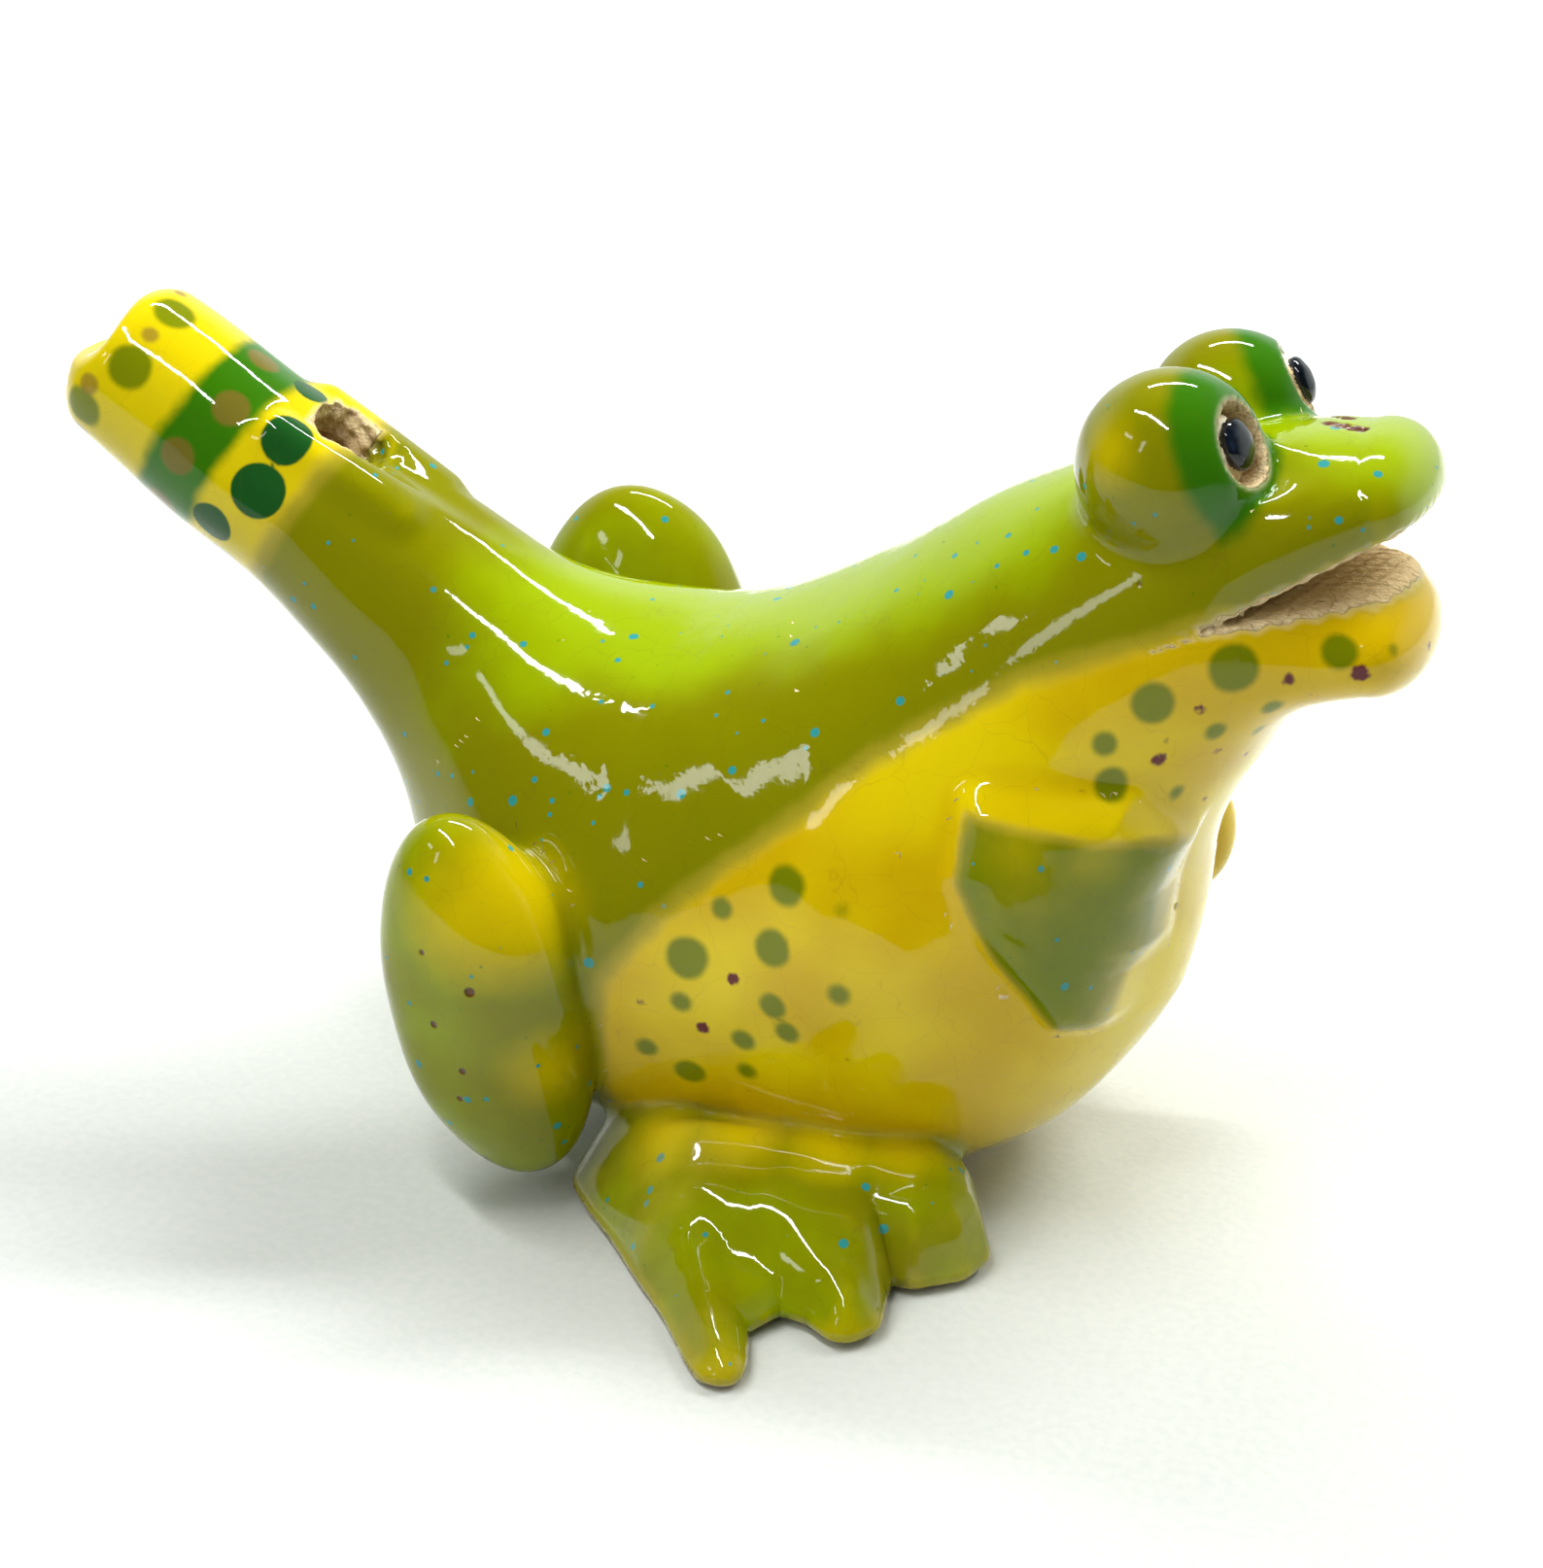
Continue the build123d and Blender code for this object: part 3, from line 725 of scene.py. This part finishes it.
# pinholes in the glaze, on the right side: a point and radius
PINHOLES = [((-23.5, -26.8, 23.2), 0.28), ((-20.0, -26.9, 20.7), 0.42), ((-23.0, -27.0, 17.5), 0.30),
            ((-21.0, -26.5, 14.0), 0.25), ((-21.5, -26.0, 11.5), 0.25), ((-18.5, -23.5, 26.5), 0.28),
            ((-17.5, -22.0, 26.0), 0.25), ((-18.0, -24.7, 25.0), 0.25), ((23.3, -12.6, 50.9), 0.30)]


def side_point(x, z, side):
    """The point of the body's skin at x, z on one side, found by stepping in from outside."""
    y = np.arange(30.0, 0.0, -0.1)
    p = np.stack([np.full_like(y, x), SIDES[side] * y, np.full_like(y, z)], 1)
    skin = np.minimum(chamber(p), skull_and_jaw(p))
    return p[np.argmax(skin < 0.3)]


def tip_point(along, degrees):
    """A point on the mouthpiece's skin."""
    x0, z0, width, height = TAIL[0]
    cx, cz = between(TAIL[0], TAIL[1])
    up, across = height * math.cos(math.radians(degrees)), -width * math.sin(math.radians(degrees))
    grow = 1 + TIP_FLARE * along
    return np.array([x0 + along * cx - up * cz * grow, across * grow, z0 + along * cz + up * cx * grow])


def dab_distance(p, dabs):
    """Distance inside the nearest of some round dabs, each a point and a radius."""
    out = np.full(len(p), -FAR)
    for centre, radius in dabs:
        out = np.maximum(out, radius - length(p - centre))
    return out


def flank_dabs(spots):
    return [(side_point(x, z, side), radius) for side in SIDES for x, z, radius in spots]


def tip_dabs(spots):
    return [(tip_point(along, degrees), radius) for along, degrees, radius in spots]


def eye_band(p, side):
    """Distance inside the deep green round an eye."""
    along = (p - mound_centre(side)) @ gaze(side) - EYE_BAND[side]
    return np.minimum(along, 0.8 - mound(p, side))


def colour_zones(p):
    """Named measures in millimetres, positive inside the colour, at points on the surface."""
    q, mass = mouthpiece_axes(p), masses(p)
    top_x, top_z, top_slope = ARM_GREEN_TOP
    green_top = p[:, 2] - top_z - top_slope * (p[:, 0] - top_x)
    leaf = smooth_max(polygon(p[:, 0], p[:, 2], ARM_EDGE) - 0.3, green_top, 1.5)
    greens = {part + side: mass[part + side] for part in LIMB_BLENDS for side in SIDES}
    for side in SIDES:
        greens["arm_" + side] = np.maximum(mass["arm_" + side], leaf)
    limbs = np.minimum.reduce(list(greens.values()))
    legs = np.minimum.reduce([mass[part + side] for part in ("thigh_", "foot_") for side in SIDES])
    belly = smooth_min(-polygon(p[:, 0], p[:, 2], BELLY_EDGE), 2.2 * (limbs - 0.7), 0.8)
    tip = TIP_LENGTH - q[:, 0]
    band = TIP_BAND[1] - np.abs(q[:, 0] - TIP_BAND[0])
    limes = [-capsule(p, start, radius, end, radius) for start, end, radius in (LIME_BACK, LIME_SNOUT)]
    in_window = np.maximum(voicing(q), q[:, 0] - BARE_LENGTH)
    in_mouth = np.maximum(mouth(p), SEAM_END[0] - 0.6 - p[:, 0])
    bare = np.minimum(in_window, in_mouth)
    gold = np.full(len(p), -FAR)
    for side in SIDES:
        corner, end, half_width = MOUTH_CRACK
        crack = capsule(p, side_point(*corner, side), half_width, side_point(*end, side), 0.0)
        bare = np.minimum.reduce([bare, socket(p, side) + 0.25, 3 * crack])
        gold = np.maximum(gold, dab_distance(p, [(mirrored(point, side), r) for point, r in GOLD_PATCHES]))
    here = clay(p)
    nearby = [clay(p + RIDGE_REACH * sign * axis) for sign in (-1, 1) for axis in np.eye(3)]
    return {
        "yellow": np.maximum(belly, tip),
        "tip": tip,
        "gold": gold,
        "nostril": 0.35 - nostrils(p),
        "deep": np.maximum.reduce([band] + [eye_band(p, side) for side in SIDES]),
        "lime": np.maximum.reduce([*limes, -1.0 - legs]),
        "leaf": -greens["arm_right"],
        "spot": dab_distance(p, flank_dabs(FLANK_SPOTS) + tip_dabs(TIP_GREEN_DABS)),
        "dark": dab_distance(p, tip_dabs(TIP_DARK_DABS)),
        "blush": dab_distance(p, tip_dabs(TIP_BLUSH_DABS)),
        "fleck": dab_distance(p, flank_dabs(FLANK_FLECKS)),
        "bare": np.maximum(0.45 - bare, 0.4 - p[:, 2]),
        # window_shade is painted shade: bare clay low in the window and short of 24 mm along the mouthpiece
        # is darkened as if in shadow
        "window_shade": np.minimum(6.5 - q[:, 1], 24.0 - q[:, 0]),
        "ridge": sum(nearby) / 6 - here,
    }


# --- materials ---
class Graph:
    """Short names for building the nodes of a material or a world."""

    def __init__(self, owner):
        owner.use_nodes = True
        self.owner, self.tree = owner, owner.node_tree
        self.tree.nodes.clear()
        self.spaces = self.add("ShaderNodeTexCoord").outputs
        self.place = self.vector("SCALE", self.spaces["Object"], scale=1 / MM)

    def add(self, kind, **settings):
        node = self.tree.nodes.new(kind)
        for key, value in settings.items():
            setattr(node, key, value)
        return node

    def feed(self, socket, value):
        if isinstance(value, bpy.types.NodeSocket):
            self.tree.links.new(value, socket)
        else:
            socket.default_value = value

    def math(self, operation, *values):
        node = self.add("ShaderNodeMath", operation=operation)
        for socket, value in zip(node.inputs, values):
            self.feed(socket, value)
        return node.outputs[0]

    def vector(self, operation, *values, scale=None):
        node = self.add("ShaderNodeVectorMath", operation=operation)
        for socket, value in zip(node.inputs, values):
            self.feed(socket, value)
        if scale is not None:
            node.inputs["Scale"].default_value = scale
        return node.outputs["Value" if operation == "DISTANCE" else "Vector"]

    def axis(self, vector, name):
        node = self.add("ShaderNodeSeparateXYZ")
        self.feed(node.inputs[0], vector)
        return node.outputs[name]

    def measure(self, name):
        return self.add("ShaderNodeAttribute", attribute_name=name).outputs["Fac"]

    def noise(self, size, detail=2.0, offset=(0, 0, 0), stretch=None, output="Fac"):
        """Noise about size millimetres across, 0 to 1."""
        node = self.add("ShaderNodeTexNoise")
        moved = self.vector("ADD", self.place, offset)
        if stretch:
            moved = self.vector("MULTIPLY", moved, stretch)
        self.feed(node.inputs["Vector"], moved)
        node.inputs["Scale"].default_value = 1 / size
        node.inputs["Detail"].default_value = detail
        return node.outputs[output]

    def wobble(self, size, reach):
        """Shift of up to half of reach each way that changes over about size millimetres."""
        shift = self.vector("SUBTRACT", self.noise(size, output="Color"), (0.5, 0.5, 0.5))
        return self.vector("SCALE", shift, scale=reach)

    def rims(self, holes):
        """Distance in millimetres outside the nearest of some round holes, each a point and a radius."""
        nearest = FAR
        for centre, radius in holes:
            distance = self.math("SUBTRACT", self.vector("DISTANCE", self.place, centre), radius)
            nearest = self.math("MINIMUM", nearest, distance)
        return nearest

    def cells(self, size, feature="F1", offset=(0, 0, 0), wobble=None):
        """Voronoi cells about size millimetres across: distance in millimetres and a random colour."""
        node = self.add("ShaderNodeTexVoronoi", feature=feature)
        moved = self.vector("ADD", self.place, offset)
        if wobble is not None:
            moved = self.vector("ADD", moved, wobble)
        self.feed(node.inputs["Vector"], moved)
        node.inputs["Scale"].default_value = 1 / size
        distance = self.math("MULTIPLY", node.outputs["Distance"], size)
        return distance, node.outputs.get("Color")

    def ramp(self, value, low, high, start=0.0, stop=1.0, smooth=True):
        """value from low..high to start..stop."""
        node = self.add("ShaderNodeMapRange", interpolation_type="SMOOTHSTEP" if smooth else "LINEAR")
        for socket, number in zip(node.inputs, (value, low, high, start, stop)):
            self.feed(socket, number)
        return node.outputs["Result"]

    def mix(self, factor, a, b, strength=1.0):
        """Colour a, or b at this strength where the factor is 1."""
        if strength < 1:
            factor = self.math("MULTIPLY", factor, strength)
        node = self.add("ShaderNodeMix", data_type="RGBA")
        self.feed(node.inputs[0], factor)
        self.feed(node.inputs[6], a if isinstance(a, bpy.types.NodeSocket) else (*a, 1))
        self.feed(node.inputs[7], b if isinstance(b, bpy.types.NodeSocket) else (*b, 1))
        return node.outputs[2]

    def bump(self, height, distance_mm, under=None):
        node = self.add("ShaderNodeBump")
        self.feed(node.inputs["Height"], height)
        node.inputs["Distance"].default_value = distance_mm * MM
        node.inputs["Strength"].default_value = 1.0
        if under is not None:
            self.feed(node.inputs["Normal"], under)
        return node.outputs["Normal"]

    def surface(self, **values):
        shader = self.add("ShaderNodeBsdfPrincipled")
        for key, value in values.items():
            self.feed(shader.inputs[key.replace("_", " ")], value)
        out = self.add("ShaderNodeOutputMaterial")
        self.feed(out.inputs["Surface"], shader.outputs[0])
        return self.owner


# base colours, linear
OLIVE, LIME, LEAF = (0.20, 0.20, 0.0006), (0.27, 0.37, 0.0008), (0.085, 0.175, 0.001)
YELLOW, AMBER = (0.74, 0.57, 0.001), (0.60, 0.40, 0.001)
LEMON, GOLD = (0.62, 0.49, 0.002), (0.64, 0.48, 0.001)
DEEP_GREEN, SPOT_GREEN, DARK_GREEN = (0.032, 0.15, 0.002), (0.12, 0.17, 0.001), (0.010, 0.08, 0.012)
BLUSH, BURGUNDY, HAZE = (0.20, 0.115, 0.02), (0.11, 0.010, 0.012), (0.56, 0.42, 0.04)
TURQUOISE, SOOT, BROWN = (0.03, 0.27, 0.26), (0.008, 0.006, 0.006), (0.12, 0.042, 0.014)
# SHADED_CLAY is painted shade, the darker clay down in the window
TAN, PALE_CLAY, SHADED_CLAY = (0.56, 0.40, 0.19), (0.80, 0.66, 0.38), (0.34, 0.19, 0.07)
CREAM = (0.90, 0.84, 0.64)


def material_graph(name):
    return Graph(bpy.data.materials.new(name))


def specks(g, size, least, most, chance, offset):
    """Mask of scattered round specks, between least and most millimetres in radius."""
    distance, colour = g.cells(size, offset=offset)
    red = g.axis(colour, "X")
    radius = g.ramp(red, 1 - chance, 1.0, least, most, smooth=False)
    shown = g.math("GREATER_THAN", red, 1 - chance)
    return g.math("MULTIPLY", g.ramp(g.math("SUBTRACT", radius, distance), -0.03, 0.07), shown)


def scratched_clay(g):
    """Colour of unglazed fired clay, dragged with a tool."""
    drag = g.noise(0.5, 4, stretch=(1, 5, 1))
    cracks, _ = g.cells(3.6, "DISTANCE_TO_EDGE", wobble=g.wobble(1.2, 1.6))
    colour = g.mix(g.ramp(drag, 0.3, 0.7), TAN, PALE_CLAY)
    return g.mix(g.ramp(cracks, 0.09, 0.02, 0.0, 0.4), colour, BROWN)


def glaze():
    """Green above and yellow below, with everything that is brushed, speckled or left bare on them."""
    g = material_graph("speckled_glaze")
    ragged = g.math("MULTIPLY", g.math("SUBTRACT", g.noise(2.6, 3), 0.5), 1.4)
    cloud = g.math("MULTIPLY", g.math("SUBTRACT", g.noise(9.0, 3, (30, 0, 0)), 0.5), 9.0)
    ridge = g.ramp(g.measure("ridge"), 0.08, 0.30)
    pool = g.ramp(g.measure("ridge"), 0.0, -0.12)

    def painted(name, raggedness, low, high, noise=ragged):
        """Mask of a measure with a ragged brush edge."""
        return g.ramp(g.math("MULTIPLY_ADD", noise, raggedness, g.measure(name)), low, high)

    green = g.mix(g.ramp(g.math("ADD", g.measure("lime"), cloud), -3.0, 3.5), OLIVE, LIME)
    gold = g.math("MULTIPLY", painted("gold", 0.4, -3.0, 2.0, cloud), 0.85)
    green = g.mix(g.math("MAXIMUM", gold, g.math("MULTIPLY", ridge, 0.4)), green, GOLD)
    green = g.mix(g.ramp(g.measure("leaf"), -0.8, 0.8), green, LEAF, 0.9)
    green = g.mix(specks(g, 1.4, 0.06, 0.16, 0.4, (5, 1, 8)), green, DEEP_GREEN, 0.6)
    green = g.mix(specks(g, 1.9, 0.10, 0.44, 0.50, (0, 0, 0)), green, TURQUOISE)
    green = g.mix(specks(g, 6.0, 0.12, 0.24, 0.16, (9, 4, 2)), green, SOOT)

    yellow = g.mix(g.ramp(g.noise(14.0, 2, (50, 0, 0)), 0.35, 0.65), YELLOW, AMBER)
    yellow = g.mix(pool, yellow, AMBER, 0.6)
    yellow = g.mix(g.ramp(g.measure("tip"), -1.0, 1.0), yellow, LEMON)
    yellow = g.mix(painted("spot", 0.25, -0.25, 0.4), yellow, SPOT_GREEN, 0.9)
    fleck = painted("fleck", 0.5, 0.12, 0.4, g.noise(0.5, 2))
    fleck = g.math("MAXIMUM", fleck, specks(g, 7.0, 0.08, 0.2, 0.25, (3, 7, 5)))
    yellow = g.mix(fleck, yellow, BURGUNDY)

    edge = g.math("MULTIPLY_ADD", ragged, 0.7, g.measure("yellow"))
    colour = g.mix(g.ramp(edge, -0.6, 0.6), green, yellow)
    haze = g.math("MINIMUM", g.ramp(edge, -1.6, -0.4), g.ramp(edge, 0.9, 0.0))
    colour = g.mix(haze, colour, HAZE, 0.4)
    colour = g.mix(painted("deep", 0.7, -0.6, 0.7), colour, DEEP_GREEN)
    colour = g.mix(painted("blush", 0.2, -0.2, 0.3), colour, BLUSH, 0.7)
    colour = g.mix(painted("dark", 0.15, -0.1, 0.15), colour, DARK_GREEN)
    crazing, _ = g.cells(4.2, "DISTANCE_TO_EDGE", wobble=g.wobble(2.5, 2.0))
    colour = g.mix(g.ramp(crazing, 0.05, 0.0, 0.0, 0.13), colour, BROWN)
    pits = g.rims(PINHOLES)
    colour = g.mix(g.ramp(pits, 0.10, -0.05), colour, BROWN)
    colour = g.mix(g.ramp(g.measure("nostril"), 0.0, 0.25), colour, BROWN)

    bare = painted("bare", 0.3, 0.1, 0.24, g.noise(0.8, 2))
    colour = g.mix(g.ramp(g.measure("bare"), -0.5, 0.1), colour, PALE_CLAY, 0.4)
    # painted shade: the clay down in the window darkens towards SHADED_CLAY, as if in shadow
    clay_colour = g.mix(g.ramp(g.measure("window_shade"), 0.0, 4.0), scratched_clay(g), SHADED_CLAY, 0.75)
    colour = g.mix(bare, colour, clay_colour)
    roughness = g.math("MULTIPLY_ADD", bare, 0.75, 0.05)
    skin = g.bump(g.noise(0.9, 2), 0.010)
    holes = g.bump(g.ramp(pits, -0.15, 0.12), 0.25, under=skin)
    grit = g.bump(g.math("MULTIPLY", g.noise(0.4, 4), bare), 0.25, under=holes)
    return g.surface(Base_Color=colour, Roughness=roughness, Normal=grit, IOR=1.42)


def bare_clay():
    g = material_graph("bare_clay")
    return g.surface(Base_Color=scratched_clay(g), Roughness=0.85, Normal=g.bump(g.noise(0.6, 5), 0.2))


def eye_clay():
    """Eyeball of scratched clay, with a streak of cream slip across its upper back."""
    g = material_graph("eye_clay")
    streak = g.ramp(g.math("MULTIPLY_ADD", g.noise(0.7, 2), 0.8, g.measure("cream")), 0.3, 0.5)
    colour = g.mix(streak, scratched_clay(g), CREAM)
    roughness = g.ramp(streak, 0, 1, 0.8, 0.25)
    return g.surface(Base_Color=colour, Roughness=roughness, Normal=g.bump(g.noise(0.35, 4), 0.12))


def pupil_glaze():
    g = material_graph("pupil_glaze")
    colour = g.mix(g.ramp(g.noise(0.9, 3), 0.4, 0.7), (0.004, 0.006, 0.010), (0.010, 0.018, 0.032))
    return g.surface(Base_Color=colour, Roughness=0.06, IOR=1.55, Normal=g.bump(g.noise(0.6, 2), 0.012))


# --- the frog ---
def make_pieces(low, high, voxel, describe, field, zones, pieces):
    """Meshes a block's pieces, {CAD node: (slot, materials)}, and puts each in its node's place; the slot is
    not used.
    """
    points, outer, meshes = surface_nets(low, high, voxel, describe, list(pieces))
    points[outer] = settle(field, points[outer], 0.6 * voxel)
    slope = gradient(field, points[outer], 0.08)
    normals = np.zeros_like(points)
    normals[outer] = slope / np.maximum(np.linalg.norm(slope, axis=1), 1e-6)[:, None]
    measures = {}
    for key, value in zones(points[outer]).items():
        measures[key] = np.zeros(len(points))
        measures[key][outer] = value
    for name, (faces, outside) in meshes.items():
        slot, materials = pieces[name]
        piece = make_object(name + "_fired", points, faces, outside, normals, measures, materials)
        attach(piece, "root")
        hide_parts(name)


def fire_the_body():
    """Everything but the eyes, in a block a little larger than the CAD."""
    low, high = [np.array(corner) / MM for corner in CAD_BOX]
    margin = 2.0
    slots = {"belly_shell": "yellow_glaze", "lower_jaw": "yellow_glaze", "mouthpiece": "banded_glaze"}
    finish = [glaze(), bare_clay()]
    pieces = {name: (slots.get(name, "green_glaze"), finish) for name in PIECES}
    make_pieces(low - margin, high + margin, VOXEL, frog, handmade, colour_zones, pieces)


def fire_the_eyes():
    clay_finish, black_finish = eye_clay(), pupil_glaze()
    reach = 4.5
    for side in SIDES:
        centre = eyeball_centre(side)
        streak = np.array(mirrored((-0.45, 0.62, 0.64), side))
        make_pieces(
            centre - reach, centre + reach, EYE_VOXEL,
            lambda p: eye(p, side), lambda p: eye(p, side)[0],
            lambda p: {"cream": (p - centre) @ streak - 0.5},
            {"eyeball_" + side: ("cream_glaze", [clay_finish, clay_finish]),
             "pupil_" + side: ("black_glaze", [black_finish, clay_finish])},
        )


fire_the_body()
fire_the_eyes()


# --- stage, light and camera ---
def floor():
    g = material_graph("paper_floor")
    fibre = g.noise(0.8, 4)
    colour = g.mix(g.ramp(fibre, 0.3, 0.7), (0.60, 0.63, 0.60), (0.64, 0.66, 0.63))
    # painted light: the paper glows, from none at the front to strongly behind, so that the far floor reads
    # white
    painted_glow = g.ramp(g.axis(g.place, "Y"), -20.0, 110.0, 0.0, 0.75)
    paper = g.surface(Base_Color=colour, Roughness=0.7, Normal=g.bump(fibre, 0.05),
                      Emission_Color=(1, 1, 1, 1), Emission_Strength=painted_glow)
    mesh = bpy.data.meshes.new("floor")
    left, right, front, back = -1.2, 1.2, -0.33, 1.2
    corners = [(left, front, 0), (right, front, 0), (right, back, 0), (left, back, 0)]
    mesh.from_pydata(corners, [], [(0, 1, 2, 3)])
    mesh.materials.append(paper)
    plane = bpy.data.objects.new("floor", mesh)
    bpy.context.scene.collection.objects.link(plane)


FROG = (0, 0, 0.03)
LAMPS = [    # name, centre and what it points at in metres, size, watts, and whether the glaze mirrors it
    ("strip_front", (-0.09, -0.11, 0.36), FROG, (0.30, 0.018), 0.9, True),
    ("strip_back", (-0.03, 0.20, 0.36), FROG, (0.22, 0.018), 0.75, True),
    ("window_left", (-0.35, -0.26, 0.36), FROG, (0.12, 0.035), 0.11, True),
    ("window_right", (-0.25, -0.46, 0.36), FROG, (0.05, 0.13), 0.13, True),
    ("front_fill", (-0.1, -0.5, 0.45), FROG, (0.5, 0.5), 1.2, False),
    ("key", (0.35, 0.30, 0.6), FROG, (0.3, 0.3), 4.2, False),
    ("overhead", (0, 0.8, 1.2), (0, 0.8, 0), (3.0, 3.0), 7.4, False),
]


def lamps():
    """Two narrow strips and two small windows that the glaze mirrors, and three broad soft lights."""
    for name, centre, aim, size, power, mirrored_in_glaze in LAMPS:
        light = bpy.data.lights.new(name, "AREA")
        light.shape = "RECTANGLE"
        light.size, light.size_y = size
        light.energy = power
        lamp = bpy.data.objects.new(name, light)
        lamp.location = centre
        lamp.visible_glossy = mirrored_in_glaze
        lamp.rotation_euler = (Vector(aim) - Vector(centre)).to_track_quat("-Z", "Y").to_euler()
        bpy.context.scene.collection.objects.link(lamp)


def light_tent():
    """White surroundings behind the frog, dark in front of it and overhead."""
    g = Graph(bpy.data.worlds.new("light_tent"))
    behind = g.ramp(g.axis(g.spaces["Generated"], "Y"), -0.15, 0.45, 0.03, 0.9)
    low = g.ramp(g.axis(g.spaces["Generated"], "Z"), 0.75, 0.35, 0.15, 1.0)
    background = g.add("ShaderNodeBackground")
    background.inputs["Color"].default_value = (0.93, 1.0, 0.95, 1)
    g.feed(background.inputs["Strength"], g.math("MULTIPLY", behind, low))
    g.feed(g.add("ShaderNodeOutputWorld").inputs["Surface"], background.outputs[0])
    bpy.context.scene.world = g.owner


def camera():
    data = bpy.data.cameras.new("camera")
    target, reach = Vector((-6.5, 0, 27.4)) * MM, 240 * MM
    azimuth, elevation = math.radians(18), math.radians(23)
    back = Vector((math.sin(azimuth) * math.cos(elevation), -math.cos(azimuth) * math.cos(elevation),
                   math.sin(elevation)))
    eye = bpy.data.objects.new("camera", data)
    eye.location = target + back * reach
    eye.rotation_euler = (-back).to_track_quat("-Z", "Y").to_euler()
    data.sensor_fit = "AUTO"
    data.sensor_width = 36
    data.lens = 72.8
    data.clip_start = 0.01
    bpy.context.scene.collection.objects.link(eye)
    bpy.context.scene.camera = eye


floor()
light_tent()
lamps()
camera()
bpy.context.scene.view_settings.view_transform = "Standard"
